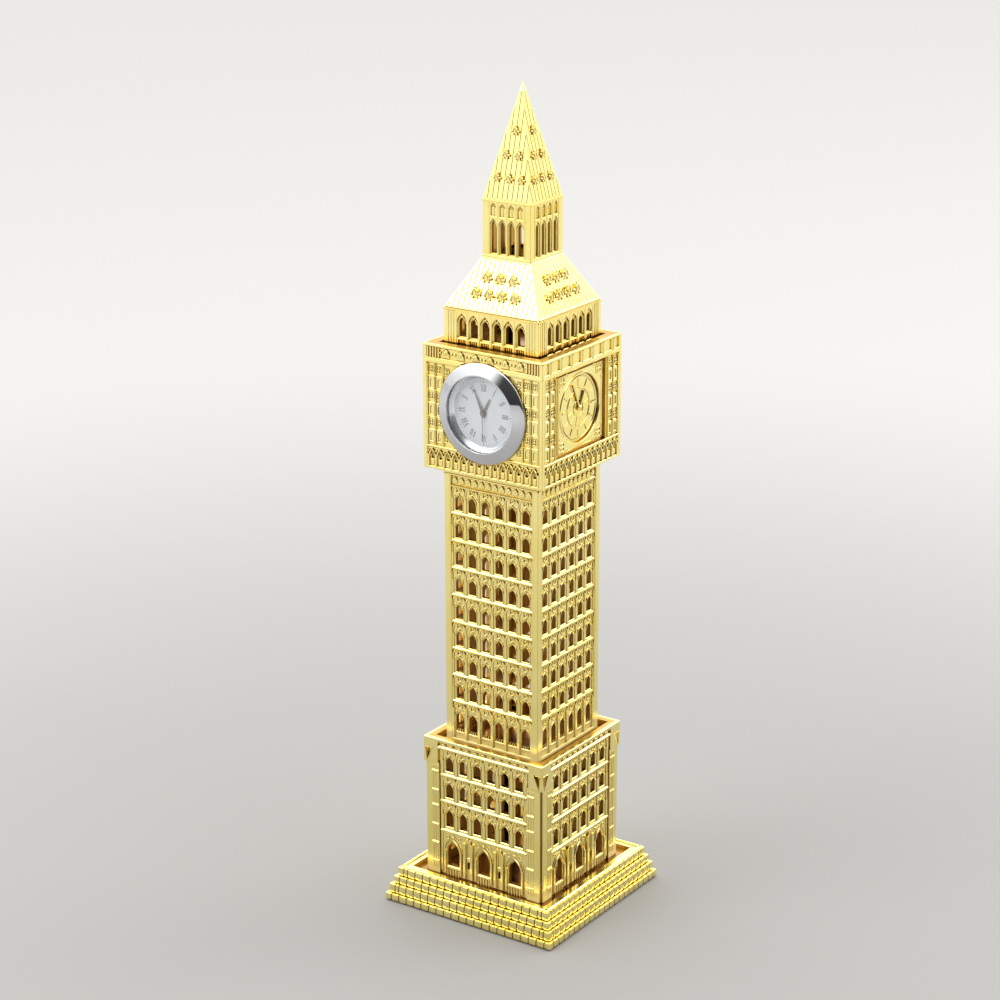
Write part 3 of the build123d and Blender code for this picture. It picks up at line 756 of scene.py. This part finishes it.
# %% [markdown]
# The round bezel covers part of this ornament. A real pattern would be turned away under it, so a drill a
# little wider than the bezel is taken to the loose pieces. Each one is cut by itself, because a cut through
# many overlapping pieces at once seldom comes out clean.

# %% Round clearance for the bezel
# A frame of more faces than this may cross the drill without a single corner inside it.
big_frame = 60


def islands(board):
    """Lists of faces, one list for each separate solid on the board."""
    seen = set()
    for first in board.faces:
        if first in seen:
            continue
        seen.add(first)
        group, queue = [], [first]
        while queue:
            face = queue.pop()
            group.append(face)
            for edge in face.edges:
                for other in edge.link_faces:
                    if other not in seen:
                        seen.add(other)
                        queue.append(other)
        yield group


def copy_of(group):
    mesh = bpy.data.meshes.new("part")
    corners = {}
    polygons = [[corners.setdefault(v, len(corners)) for v in face.verts] for face in group]
    mesh.from_pydata([tuple(v.co) for v in corners], [], polygons)
    return mesh


def cut_round(board, z, radius):
    """Keep each solid outside a cylinder round the clock axis, and trim those that cross it."""
    drill = bmesh.new()
    bmesh.ops.create_cone(drill, cap_ends=True, segments=96, radius1=radius, radius2=radius, depth=20)
    drill.transform(Matrix.Translation((0, -clock_half, z)) @ Matrix.Rotation(math.pi / 2, 4, "X"))
    tool_mesh = bpy.data.meshes.new("drill")
    drill.to_mesh(tool_mesh)
    drill.free()
    tool = bpy.data.objects.new("drill", tool_mesh)
    bpy.context.collection.objects.link(tool)
    kept_parts, trimmed = [], 0
    for group in islands(board):
        reaches = [math.hypot(v.co.x, v.co.z - z) for face in group for v in face.verts]
        if max(reaches) <= radius:
            continue
        mesh = copy_of(group)
        if min(reaches) < radius or len(group) > big_frame:
            stock = bpy.data.objects.new("stock", mesh)
            bpy.context.collection.objects.link(stock)
            loose = bmesh.new()
            loose.from_mesh(mesh)
            face_outwards(loose)
            loose.to_mesh(mesh)
            loose.free()
            saw = stock.modifiers.new("saw", "BOOLEAN")
            saw.operation = "DIFFERENCE"
            saw.solver = "EXACT"
            saw.object = tool
            bpy.context.view_layer.update()
            cut = stock.evaluated_get(bpy.context.evaluated_depsgraph_get())
            mesh = bpy.data.meshes.new_from_object(cut)
            bpy.data.objects.remove(stock)
            trimmed += 1
        kept_parts.append(mesh)
    bpy.data.objects.remove(tool)
    bpy.data.meshes.remove(tool_mesh)
    print("solids trimmed round the bezel:", trimmed, "of", len(kept_parts))
    return kept_parts


print("drill ready for a bezel of radius", bezel_radius)

# %% Clock stage front
wall_sheet = oblong(-clock_half, clock_half, clock_bottom, clock_top)
bore = round_path(0, insert_z, 12.22, 72)
lips = [pointed(u, 0.8, 127.35, 127.75, 128.1, 3) for u in spaced(14, arcade_pitch)]
board = bmesh.new()
pierced_sheet(board, wall_sheet, [bore] + lips, clock_back, clock_plane, 0.08)
ornament = bmesh.new()
clock_borders(ornament)
small_panel_columns(ornament)
for s in (-1, 1):
    for z in (133.2, 151.3):
        flower(ornament, s * 11.4, z, 1.15, clock_plane + 0.1)
        wire(ornament, [(s * 12.2, z - 1.6), (s * 12.2, z + 1.6)], clock_plane + 0.1, 0.2)
    balusters = [s * 15.4 + k for k in spaced(5, 0.85)]
    uprights(ornament, balusters, 0.2, clock_under, clock_half + 0.04, frieze_low, frieze_high, 0.08)
for u in spaced(6, 4.6):
    shield = pointed(u, 2.3, 155.0, 156.2, 157.4, 4)
    pierced_sheet(ornament, shield, [], clock_under, clock_plane + 0.42, 0.16)
    flower(ornament, u, 156.1, 0.7, clock_plane + 0.45)
    for s in (-1, 1):
        bead(ornament, u + s * 1.75, 156.2, clock_plane + 0.1, 0.42)
for part in cut_round(ornament, insert_z, bezel_radius + 0.3):
    board.from_mesh(part)
    bpy.data.meshes.remove(part)
ornament.free()
mitre(board, clock_half)
four_castings(board, "clock_wall", clock_plane - 0.2, ("front",))

# %% Clock stage plaques
plaque_half = 11.8
plaque_low, plaque_high = 131.0, 153.4
plaque_z = (plaque_low + plaque_high) / 2
plaque_depth = clock_half - 1.35
board = bmesh.new()
hollow = oblong(-plaque_half, plaque_half, plaque_low, plaque_high)
pierced_sheet(board, wall_sheet, [hollow] + lips, clock_back, clock_plane, 0.08)
plaque = oblong(-plaque_half - 0.4, plaque_half + 0.4, plaque_low - 0.4, plaque_high + 0.4)
pierced_sheet(board, plaque, [], clock_back - 0.02, plaque_depth, 0.05)
clock_borders(board)
small_panel_columns(board)
places = spaced(7, 4.9)
for half_width, stand, edge in ((0.75, 0.05, 0.3), (0.22, 0.22, 0.1)):
    uprights(board, places, half_width, clock_under, clock_half + stand, frieze_low, frieze_high, edge)
print("plaque centre at", round(plaque_z, 2))

# %% Dial in relief
relief = plaque_depth + 0.05
raised = plaque_depth + 0.5
dial_edge = 9.4
frame_half = 10.2


def on_plaque(angle, radius):
    """A point of the relief dial, turned clockwise from twelve by an angle in degrees."""
    a = math.radians(angle)
    return (radius * math.sin(a), plaque_z + radius * math.cos(a))


def square_round(half):
    """A square outline round the middle of the plaque."""
    return oblong(-half, half, plaque_z - half, plaque_z + half)


spandrels = square_round(frame_half + 0.2)
pierced_sheet(board, spandrels, [round_path(0, plaque_z, dial_edge, 64)], plaque_depth - 0.1, raised, 0.14)
hoop(board, 0, plaque_z, dial_edge, raised, 0.3, 64, 6)
for radius, thick, steps in ((8.3, 0.22, 56), (5.2, 0.2, 48), (2.2, 0.18, 28)):
    hoop(board, 0, plaque_z, radius, relief, thick, steps, 6)
for k in range(12):
    wire(board, [on_plaque(30 * k, r) for r in (5.9, 7.7)], relief, 0.3 if k % 3 == 0 else 0.2)
    wire(board, [on_plaque(30 * k + 14.9, r) for r in (2.6, 5.0)], plaque_depth, 0.1, sides=5)
for angle, reach, thick in ((28, 4.6, 0.34), (-24, 7.4, 0.26)):
    wire(board, [(0, plaque_z), on_plaque(angle, reach)], plaque_depth + 0.35, thick)
bead(board, 0, plaque_z, plaque_depth + 0.4, 0.8)
for su in (-1, 1):
    for sz in (-1, 1):
        flower(board, su * 8.6, plaque_z + sz * 8.6, 1.5, raised + 0.05)
        for across, up in ((10.0, 6.4), (6.4, 10.0)):
            hoop(board, su * across, plaque_z + sz * up, 0.5, raised, 0.13)
wire(board, square_round(frame_half), raised, 0.2, closed=True)
mitre(board, clock_half)
four_castings(board, "clock_wall", plaque_depth - 0.3, ("right", "back", "left"))

# %% [markdown]
# ## Belfry, roofs and lantern
# Over the clock a low belfry opens in six lancets a side. The roof above leans in at about sixty degrees,
# covered in flattened ribs with two rows of little dormers; then comes a tall open lantern, and last the
# spire, ribbed the same way. Ribs stop at the hips, where the seam between castings shows.

# %% Belfry walls
belfry_half, belfry_bottom, belfry_top = stage_sizes("belfry_wall_front")
belfry_back = belfry_half - 2.0
belfry_plane = belfry_half - 0.6
belfry_under = belfry_plane - 0.1
belfry_pitch = 3.62
bays = spaced(6, belfry_pitch)
sheet = oblong(-belfry_half, belfry_half, belfry_bottom, belfry_top)
lancets = [pointed(u, 2.2, 160.2, 163.9, 165.2) for u in bays]
hoods = [pointed(u, 2.9, 159.9, 164.2, 166.5, 5) for u in bays]
panels = [oblong(u - 1.15, u + 1.15, 157.9, 159.4) for u in bays]
board = bmesh.new()
pierced_sheet(board, sheet, lancets, belfry_back, belfry_plane)
pierced_sheet(board, sheet, hoods + panels, belfry_under, belfry_half - 0.1)
for u in bays:
    wire(board, arch_line(u, 2.5, 163.9, 165.6, 5), belfry_plane + 0.15, 0.16)
    hoop(board, u, 166.0, 0.42, belfry_plane + 0.2, 0.13, 10)
    balusters = [u + k for k in spaced(3, 0.6)]
    uprights(board, balusters, 0.13, belfry_under, belfry_plane + 0.3, 157.8, 159.5, 0.06)
uprights(board, spaced(7, belfry_pitch), 0.3, belfry_under, belfry_half + 0.06, belfry_bottom, 166.6)
for s in (-1, 1):
    shafts = [s * 12.55 + k for k in spaced(3, 0.85)]
    uprights(board, shafts, 0.24, belfry_half - 0.3, belfry_half + 0.1, belfry_bottom, 167.0)
string_course(board, belfry_half - 0.1, 167.05, belfry_plane, belfry_half + 0.1, 0.5)
mitre(board, belfry_half, 1.0)
four_castings(board, "belfry_wall", belfry_plane - 0.2)

# %% Ribs and dormers
rib_breadth = 1.5
rib_sides = 5


def sloping_slab(board, half0, z0, half1, z1, thick):
    """One side of a hipped roof: a leaning slab whose ends lie in the mitre planes."""
    rise = z1 - z0
    run = half0 - half1
    length = math.hypot(rise, run)
    drop = thick * length / rise
    inner1 = max(0.02, half1 - drop)
    inner0 = half0 - drop
    corners = []
    for half, z in ((half0, z0), (inner0, z0), (inner1, z1), (half1, z1)):
        corners.append([board.verts.new((s * half, -half, z)) for s in (-1, 1)])
    for i in range(4):
        j = (i + 1) % 4
        board.faces.new((corners[i][0], corners[i][1], corners[j][1], corners[j][0]))
    board.faces.new([c[0] for c in corners])
    board.faces.new([c[1] for c in reversed(corners)])


def rib(board, half0, z0, half1, z1, u, radius, clear_hip):
    """A flattened rib running up the slope at u until it meets the hip, with a rounded foot."""
    slope = (half0 - half1) / (z1 - z0)
    z_stop = z1 if abs(u) + clear_hip <= half1 else z0 + (half0 - abs(u) - clear_hip) / slope
    if z_stop - z0 < 0.6:
        return
    out = Vector((0, -1, slope)).normalized()
    stations = [(z0 + 0.02, 0.45), (z0 + 0.25, 0.85), (z0 + 0.55, 1.0), (z_stop - 0.5, 1.0), (z_stop, 0.55)]
    angles = [2 * math.pi * k / rib_sides for k in range(rib_sides)]
    section = [Vector((rib_breadth * math.cos(a), 0, 0)) + math.sin(a) * out for a in angles]
    rings = []
    for z, fat in stations:
        centre = Vector((u, -(half0 - slope * (z - z0)), z))
        rings.append([board.verts.new(centre + fat * radius * corner) for corner in section])
    for here, there in zip(rings, rings[1:]):
        for k in range(rib_sides):
            m = (k + 1) % rib_sides
            board.faces.new((here[k], here[m], there[m], there[k]))
    board.faces.new(list(reversed(rings[0])))
    board.faces.new(rings[-1])


def dormer(board, half0, z0, slope, u, z, size):
    """A small gabled dormer with four leaves round it, standing on the slope."""
    depth = half0 - slope * (z - z0)
    front = depth + 0.34 * size
    pierced_sheet(board, pointed(u, 0.95 * size, z - 0.62 * size, z + 0.15 * size, z + 0.8 * size, 3), [],
                  depth - 1.1 * size, front, 0.1)
    pierced_sheet(board, pointed(u, 0.45 * size, z - 0.4 * size, z + 0.1 * size, z + 0.45 * size, 3), [],
                  front - 0.1, front + 0.12, 0.05)
    gable = arch_line(u, 1.15 * size, z + 0.1 * size, z + 0.85 * size, 4)
    wire(board, gable, front - 0.02, 0.12 * size, sides=5)
    for s in (-1, 1):
        bead(board, u + s * 0.72 * size, z + 0.02 * size, front - 0.1 * size, 0.27 * size, 0.8)
        bead(board, u + s * 0.4 * size, z - 0.5 * size, front + 0.1 * size, 0.2 * size, 0.8)
    bead(board, u, z + 1.0 * size, front - 0.12 * size, 0.24 * size, 0.8)


def trim_to_hips(board):
    """Pull anything that reaches past the hips back to them."""
    for v in board.verts:
        limit = abs(v.co.y) - 0.02
        v.co.x = max(-limit, min(limit, v.co.x))


print("ribs of", rib_sides, "sides and dormers are ready")

# %% Ribbed roof
lantern_half, lantern_bottom, lantern_top = stage_sizes("lantern_wall_front")
roof_half, roof_bottom, roof_top = stage_sizes("roof_panel_front")
slab_half = roof_half - 0.08
slab = (slab_half, roof_bottom, lantern_half, roof_top)
board = bmesh.new()
sloping_slab(board, *slab, 1.7)
roof_slope = (roof_half - lantern_half) / (roof_top - roof_bottom)
for u in spaced(19, 1.5):
    rib(board, *slab, u, 0.13, 0.25)
for count, height in ((4, 4.1), (3, 8.0)):
    for u in spaced(count, 4.0):
        dormer(board, slab_half, roof_bottom, roof_slope, u, roof_bottom + height, 1.7)
eaves = [(roof_half - 1.2, roof_bottom), (roof_half - 0.02, roof_bottom),
         (roof_half + 0.05, roof_bottom + 0.3), (roof_half - 0.5, roof_bottom + 0.75),
         (roof_half - 1.2, roof_bottom + 0.75)]
bar(board, -roof_half + 0.5, roof_half - 0.5, eaves)
collar = [(lantern_half - 1.4, roof_top - 0.7), (lantern_half + 0.3, roof_top - 0.75),
          (lantern_half + 0.3, roof_top - 0.3), (lantern_half, roof_top), (lantern_half - 1.4, roof_top)]
bar(board, -lantern_half, lantern_half, collar)
trim_to_hips(board)
four_castings(board, "roof_panel", 0.0)

# %% Lantern walls
lantern_back = lantern_half - 1.6
lantern_plane = lantern_half - 0.45
lantern_under = lantern_plane - 0.1
lantern_pitch = 2.75
bays = spaced(4, lantern_pitch)
sheet = oblong(-lantern_half, lantern_half, lantern_bottom, lantern_top)
lancets = [pointed(u, 1.7, lantern_bottom + 1.1, 188.5, 190.0) for u in bays]
hoods = [pointed(u, 2.15, lantern_bottom + 0.9, 188.7, 190.5, 5) for u in bays]
panels = [pointed(u, 1.7, 191.2, 193.4, 194.6, 4) for u in bays]
board = bmesh.new()
pierced_sheet(board, sheet, lancets, lantern_back, lantern_plane, 0.08)
pierced_sheet(board, sheet, hoods + panels, lantern_under, lantern_half)
for u in bays:
    wire(board, arch_line(u, 1.9, 188.5, 190.1, 4), lantern_plane + 0.15, 0.14)
    wire(board, [(u, 191.2), (u, 194.2)], lantern_plane, 0.14)
    hoop(board, u, 193.7, 0.4, lantern_plane + 0.1, 0.11)
places = spaced(5, lantern_pitch)
uprights(board, places, 0.2, lantern_under, lantern_half + 0.14, lantern_bottom + 0.8, 194.8, 0.1)
string_course(board, 5.9, 190.6, lantern_plane, lantern_half + 0.08, 0.45)
string_course(board, lantern_half - 0.05, lantern_top - 0.5, lantern_plane, lantern_half + 0.12, 0.42)
base = [(lantern_back, lantern_bottom), (lantern_half + 0.1, lantern_bottom),
        (lantern_half + 0.1, lantern_bottom + 0.4), (lantern_half - 0.1, lantern_bottom + 0.75),
        (lantern_back, lantern_bottom + 0.75)]
bar(board, -lantern_half, lantern_half, base)
mitre(board, lantern_half, 1.0)
four_castings(board, "lantern_wall", lantern_plane - 0.2)

# %% Spire panels
spire_half, spire_bottom, spire_top = stage_sizes("spire_panel_front")
tip_half = 0.6
slab_half = spire_half - 0.05
slab = (slab_half, spire_bottom, tip_half, spire_top)
spire_slope = (slab_half - tip_half) / (spire_top - spire_bottom)
board = bmesh.new()
sloping_slab(board, *slab, 1.3)
for u in spaced(9, 1.5):
    rib(board, *slab, u, 0.12, 0.2)
for count, height in ((3, 5.4), (2, 11.2), (1, 17.2)):
    for u in spaced(count, 3.7):
        dormer(board, slab_half, spire_bottom, spire_slope, u, spire_bottom + height, 1.3)
for u in spaced(10, 1.5):
    bead(board, u, spire_bottom + 0.15, spire_half - 0.1, 0.22)
trim_to_hips(board)
four_castings(board, "spire_panel", 0.0)

# %% [markdown]
# A small square cap closes the spire. A turned part is best made as a profile spun round its axis, and a
# spin of only four steps gives a square one. The same lathe helper then makes the bezel, the sloping inner
# ring and the rubber ring.

# %% Lathe


def lathe(profile, steps=96):
    """Spin a closed (radius, height) profile round the upright axis."""
    board = bmesh.new()
    rings = []
    for k in range(steps):
        a = 2 * math.pi * k / steps
        rings.append([board.verts.new((r * math.cos(a), r * math.sin(a), h)) if r > 1e-6 else None
                      for r, h in profile])
    for i, (r, h) in enumerate(profile):
        if r <= 1e-6:
            pole = board.verts.new((0, 0, h))
            for ring in rings:
                ring[i] = pole
    count = len(profile)
    for k in range(steps):
        here, there = rings[k], rings[(k + 1) % steps]
        for i in range(count):
            j = (i + 1) % count
            corners = []
            for v in (here[i], here[j], there[j], there[i]):
                if v not in corners:
                    corners.append(v)
            if len(corners) > 2:
                board.faces.new(corners)
    face_outwards(board)
    return board


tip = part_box("finial")[1][2] / MM
root = spire_top
profile = [(0, root - 1.8), (0.28, root - 1.8), (0.28, root - 0.05), (0.88, root - 0.02),
           (0.92, root + 0.12), (0.8, root + 0.28), (0.7, root + 0.42), (0.06, tip - 0.03), (0, tip)]
board = lathe(profile, steps=4)
board.transform(Matrix.Rotation(math.radians(45), 4, "Z"))
cast(board, "finial_cap", ["finial"])
board.free()
print("tip at", tip)

# %% [markdown]
# ## The clock insert
# The bezel is polished chrome: a shallow cone with a rounded outer edge and a crisp inner lip. Polished
# metal shows only what surrounds it, so its finish is almost a perfect mirror with the faintest swirl.
# Inside it a sloping satin ring leads down to the dial.

# %% Chrome, glass, rubber and plain metals


def cloudy_tint(nodes, links, shader, scale, first, second):
    """Let the colour wander between two tints in soft clouds."""
    cloud = spread(nodes, links, grain(nodes, links, scale), 0, 1)
    links.new(blend_colours(nodes, links, cloud, first, second), shader.inputs["Base Color"])


def cloudy_gloss(nodes, links, shader, scale, smooth, cloudy):
    """Let the gloss wander between smooth and cloudy."""
    links.new(spread(nodes, links, grain(nodes, links, scale), smooth, cloudy), shader.inputs["Roughness"])


def polished(name, colour, smooth, cloudy, scale=500, dent=0.04):
    """Bare metal with the faintest swirl in its colour and its gloss."""
    finish, nodes, links, shader = new_finish(name)
    shader.inputs["Metallic"].default_value = 1.0
    cloudy_tint(nodes, links, shader, scale, colour, tuple(c * 0.93 for c in colour))
    cloudy_gloss(nodes, links, shader, scale * 0.6, smooth, cloudy)
    dented(nodes, links, shader, scale * 3, dent, 0.02 * MM)
    return finish


def painted(name, colour, second, smooth, cloudy, scale=300, dent=0.15, step=0.03):
    """Any finish that is not bare metal; its dents are step millimetres deep."""
    finish, nodes, links, shader = new_finish(name)
    cloudy_tint(nodes, links, shader, scale, colour, second)
    cloudy_gloss(nodes, links, shader, scale * 1.7, smooth, cloudy)
    dented(nodes, links, shader, scale * 6, dent, step * MM)
    return finish


chrome = polished("bezel_chrome", (0.66, 0.67, 0.69), 0.03, 0.08)
ring_metal = polished("inner_ring_satin", (0.80, 0.84, 0.88), 0.16, 0.26)
case_steel = polished("case_steel", (0.62, 0.61, 0.60), 0.25, 0.40, 700, 0.15)
brass = polished("movement_brass", (0.84, 0.62, 0.28), 0.22, 0.36, 700, 0.15)
dial_white = painted("dial_enamel", (0.86, 0.90, 0.94), (0.82, 0.87, 0.92), 0.32, 0.42, 400, 0.05)
print_grey = painted("dial_print", (0.16, 0.17, 0.19), (0.22, 0.23, 0.25), 0.5, 0.6)
hand_grey = painted("hand_lacquer", (0.20, 0.19, 0.17), (0.27, 0.25, 0.22), 0.3, 0.4)
rubber = painted("gasket_rubber", (0.02, 0.02, 0.02), (0.035, 0.035, 0.035), 0.6, 0.8)
felt = painted("black_felt", (0.02, 0.02, 0.022), (0.045, 0.04, 0.04), 0.9, 1.0, 1500, 0.8, 0.2)
board_green = painted("board_laminate", (0.02, 0.12, 0.06), (0.03, 0.16, 0.08), 0.35, 0.5)
copper = painted("coil_copper", (0.45, 0.17, 0.06), (0.55, 0.23, 0.09), 0.3, 0.45)
felt.node_tree.nodes["Principled BSDF"].inputs["Sheen Weight"].default_value = 0.4

glass, nodes, links, shader = new_finish("lens_glass")
shader.inputs["Base Color"].default_value = (1, 1, 1, 1)
shader.inputs["Metallic"].default_value = 1.0
edge_gain = nodes.new("ShaderNodeLayerWeight")
edge_gain.inputs["Blend"].default_value = 0.25
cloudy_gloss(nodes, links, shader, 120, 0.01, 0.06)
veil = rescaled(nodes, links, edge_gain.outputs["Fresnel"], (0.0, 1.0), (0.05, 0.45))
links.new(veil, shader.inputs["Alpha"])
print("finishes ready:", len(bpy.data.materials))

# %% Bezel, inner ring and rubber ring
face_out = Matrix(((1, 0, 0, 0), (0, 0, -1, -clock_half), (0, 1, 0, insert_z), (0, 0, 0, 1)))


def on_clock(board, name, node, finish):
    """Turn a lathe board to face the front, on the clock's axis."""
    board.transform(face_out)
    face_outwards(board)
    cast(board, name, [node] if node else [], "insert", finish, sharp=40)
    board.free()


profile = [(10.9, -0.44), (13.3, -0.44), (13.45, -0.3), (13.5, 0.1), (13.46, 0.35), (13.3, 0.52),
           (12.9, 0.70), (12.0, 1.08), (11.2, 1.38), (10.6, 1.6), (10.42, 1.66), (10.3, 1.66),
           (10.25, 1.58), (10.25, 1.2), (10.9, 1.2)]
on_clock(lathe(profile, 160), "bezel_polished", "bezel", chrome)
profile = [(10.84, 0.19), (10.3, 0.19), (10.2, 0.15), (9.75, -0.3), (9.3, -0.68), (9.2, -0.745),
           (10.84, -0.745)]
on_clock(lathe(profile, 128), "inner_ring_sloped", "rehaut_ring", ring_metal)
gasket_back = -2.8
gasket_ribs = 5
profile = [(11.52, -0.46)]
for k in range(gasket_ribs):
    z = -0.5 - 0.46 * k
    profile += [(12.02, z), (12.14, z - 0.12), (12.14, z - 0.26), (12.02, z - 0.38)]
profile += [(11.95, gasket_back), (11.52, gasket_back)]
on_clock(lathe(profile), "gasket_ribbed", "gasket_ring", rubber)
print("bezel, inner ring and a gasket with", gasket_ribs, "ribs turned")

# %% [markdown]
# ## The dial print
# The dial is white enamel with thin grey Roman numerals standing round it, feet towards the centre, and a
# fine minute track. The print is real geometry a few hundredths of a millimetre high, drawn stroke by stroke
# with small serifs, so it stays sharp however close one looks.

# %% Dial print
print_board = bmesh.new()
PRINT_BASE, PRINT_TOP = -0.752, -0.725


def stroke(x0, y0, x1, y1, thick, frame_of):
    """One flat printed stroke in the numeral's own square."""
    run = Vector((x1 - x0, y1 - y0)).normalized()
    side = Vector((-run.y, run.x)) * thick / 2
    corners = [(x0 + side.x, y0 + side.y), (x0 - side.x, y0 - side.y), (x1 - side.x, y1 - side.y),
               (x1 + side.x, y1 + side.y)]
    ring = [frame_of(x, y) for x, y in corners]
    prism(print_board, [(x, y, PRINT_BASE) for x, y in ring], (0, 0, PRINT_TOP - PRINT_BASE))


GLYPH_WIDTH = {"I": 0.42, "V": 0.98, "X": 1.0}


def numeral(text, clock_angle, radius=6.75, tall=1.75):
    """Roman letters side by side, standing on the dial with their feet towards the centre."""
    a = math.radians(clock_angle)

    def frame_of(x, y):
        r = radius + y
        return (r * math.sin(a) + x * math.cos(a), r * math.cos(a) - x * math.sin(a))

    total = sum(GLYPH_WIDTH[c] for c in text)
    x = -total / 2
    h = tall / 2
    for c in text:
        wide = GLYPH_WIDTH[c]
        mid = x + wide / 2
        if c == "I":
            stroke(mid, -h, mid, h, 0.2, frame_of)
        if c == "V":
            stroke(mid - 0.32, h, mid, -h, 0.2, frame_of)
            stroke(mid + 0.32, h, mid, -h, 0.09, frame_of)
        if c == "X":
            stroke(mid - 0.34, h, mid + 0.34, -h, 0.2, frame_of)
            stroke(mid + 0.34, h, mid - 0.34, -h, 0.09, frame_of)
        for y in (-h, h):
            if not (c == "V" and y < 0):
                stroke(mid - wide * 0.46, y, mid + wide * 0.46, y, 0.07, frame_of)
        x += wide


for k, text in enumerate(("XII", "I", "II", "III", "IIII", "V", "VI", "VII", "VIII", "IX", "X", "XI")):
    numeral(text, 30 * k)
for k in range(60):
    a = math.radians(6 * k)
    inner = 8.25 if k % 5 else 8.05
    half_width = 0.035 if k % 5 else 0.08
    ring = []
    for r, s in ((inner, -1), (inner, 1), (8.6, 1), (8.6, -1)):
        aside = s * half_width
        x = r * math.sin(a) + aside * math.cos(a)
        y = r * math.cos(a) - aside * math.sin(a)
        ring.append((x, y, PRINT_BASE))
    prism(print_board, ring, (0, 0, PRINT_TOP - PRINT_BASE))
on_clock(print_board, "dial_print_roman", None, print_grey)
print("twelve numerals and sixty ticks")

# %% [markdown]
# ## Parts kept from the solid model
# Decks, screws, the case, the glass, the hands and the wheels of the movement already have their true
# shapes. They only need finishes, and the larger plates a fine softened edge so that the light catches them.

# %% Finishes on kept parts
# Painted shade: the decks take the dark amber gilding of sunk surfaces.
kept = {gold_deck_painted_shade: ("lower_deck", "clock_deck"), gold: ("clock_soffit",),
        felt: ("felt_pad",), glass: ("lens",),
        case_steel: ("base_plate", "base_screws", "insert_case", "back_cover", "battery", "stator"),
        dial_white: ("dial",), chrome: ("crown",), copper: ("coil",), board_green: ("circuit_board",),
        brass: ("main_plate", "train_bridge", "fourth_wheel", "centre_wheel", "third_wheel", "fifth_wheel",
                "hour_wheel", "minute_wheel", "rotor"),
        hand_grey: ("hour_hand", "minute_hand", "second_hand")}
for finish, names in kept.items():
    for name in names:
        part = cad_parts[name]
        part.data.materials.clear()
        part.data.materials.append(finish)
for name in ("lower_deck", "clock_deck", "clock_soffit", "base_plate", "insert_case", "back_cover"):
    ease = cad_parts[name].modifiers.new("eased_edges", "BEVEL")
    ease.width = 0.0001
    ease.segments = 2
    ease.limit_method = "ANGLE"
print("kept parts finished:", sum(len(names) for names in kept.values()))

# %% [markdown]
# ## The studio
# Polished gold looks like whatever stands round it. Upright faces mirror the floor, so a pale grey floor
# gives them a middle gold; the roofs mirror the ceiling, so a very bright one turns them nearly white. A
# studio is dark behind the camera, and that dark patch is what draws the black streak on the chrome and the
# brown sides of every moulding.

# %% Floor, lamps and room light
floor_half = 6.0
floor_mesh = bpy.data.meshes.new("studio_floor")
floor_mesh.from_pydata([(x, y, 0) for x, y in oblong(-floor_half, floor_half, -floor_half, floor_half)], [],
                       [(0, 1, 2, 3)])
floor = bpy.data.objects.new("studio_floor", floor_mesh)
bpy.context.collection.objects.link(floor)
paper, nodes, links, shader = new_finish("floor_paper")
shader.inputs["Roughness"].default_value = 0.85
place = nodes.new("ShaderNodeTexCoord")
length = nodes.new("ShaderNodeVectorMath")
length.operation = "LENGTH"
links.new(place.outputs["Object"], length.inputs[0])
# Painted shade: the paper is darker near the tower and lightens outwards, a painted pool of shade round the
# tower.
outwards = rescaled(nodes, links, length.outputs["Value"], (0.08, 0.60), (0.0, 1.0), smooth=True)
painted_shade_near_paper = blend_colours(nodes, links, grain(nodes, links, 6), (0.29, 0.285, 0.28), (0.27, 0.265, 0.26))
all_paper = blend_colours(nodes, links, outwards, painted_shade_near_paper, (0.44, 0.435, 0.43))
links.new(all_paper, shader.inputs["Base Color"])
floor_mesh.materials.append(paper)


def soft_lamp(name, place, size, power, aim=(0, 0, 0.12)):
    data = bpy.data.lights.new(name, "AREA")
    data.shape = "SQUARE"
    data.size = size
    data.energy = power
    lamp = bpy.data.objects.new(name, data)
    lamp.location = place
    lamp.rotation_euler = (Vector(aim) - Vector(place)).to_track_quat("-Z", "Y").to_euler()
    bpy.context.collection.objects.link(lamp)


soft_lamp("overhead_box", (-0.3, -0.1, 1.5), 1.1, 4)
soft_lamp("left_box", (-0.55, -0.85, 0.9), 0.6, 4, aim=(-0.45, -0.75, 0.0))
soft_lamp("back_box", (0.6, 0.9, 0.9), 0.6, 4, aim=(0.5, 0.8, 0.0))

room = bpy.data.worlds.new("studio_room")
bpy.context.scene.world = room
room.use_nodes = True
nodes = room.node_tree.nodes
links = room.node_tree.links
background = nodes["Background"]
direction = nodes.new("ShaderNodeTexCoord")


def towards(vector, low, high, dark, light):
    """How far the looked-at direction leans along a vector, mapped onto a brightness."""
    dot = nodes.new("ShaderNodeVectorMath")
    dot.operation = "DOT_PRODUCT"
    dot.inputs[1].default_value = vector
    links.new(direction.outputs["Generated"], dot.inputs[0])
    return rescaled(nodes, links, dot.outputs["Value"], (low, high), (dark, light), smooth=True)


behind_camera = towards((0.56, -0.83, 0.0), 0.5, 0.72, 1.0, 0.05)
by_height = towards((0, 0, 1), -0.05, 0.5, 1.05, 2.0)
product = nodes.new("ShaderNodeMath")
product.operation = "MULTIPLY"
links.new(behind_camera, product.inputs[0])
links.new(by_height, product.inputs[1])
links.new(product.outputs["Value"], background.inputs["Strength"])
background.inputs["Color"].default_value = (1.0, 0.99, 0.97, 1)
bpy.context.scene.view_settings.view_transform = "Standard"
print("studio ready")
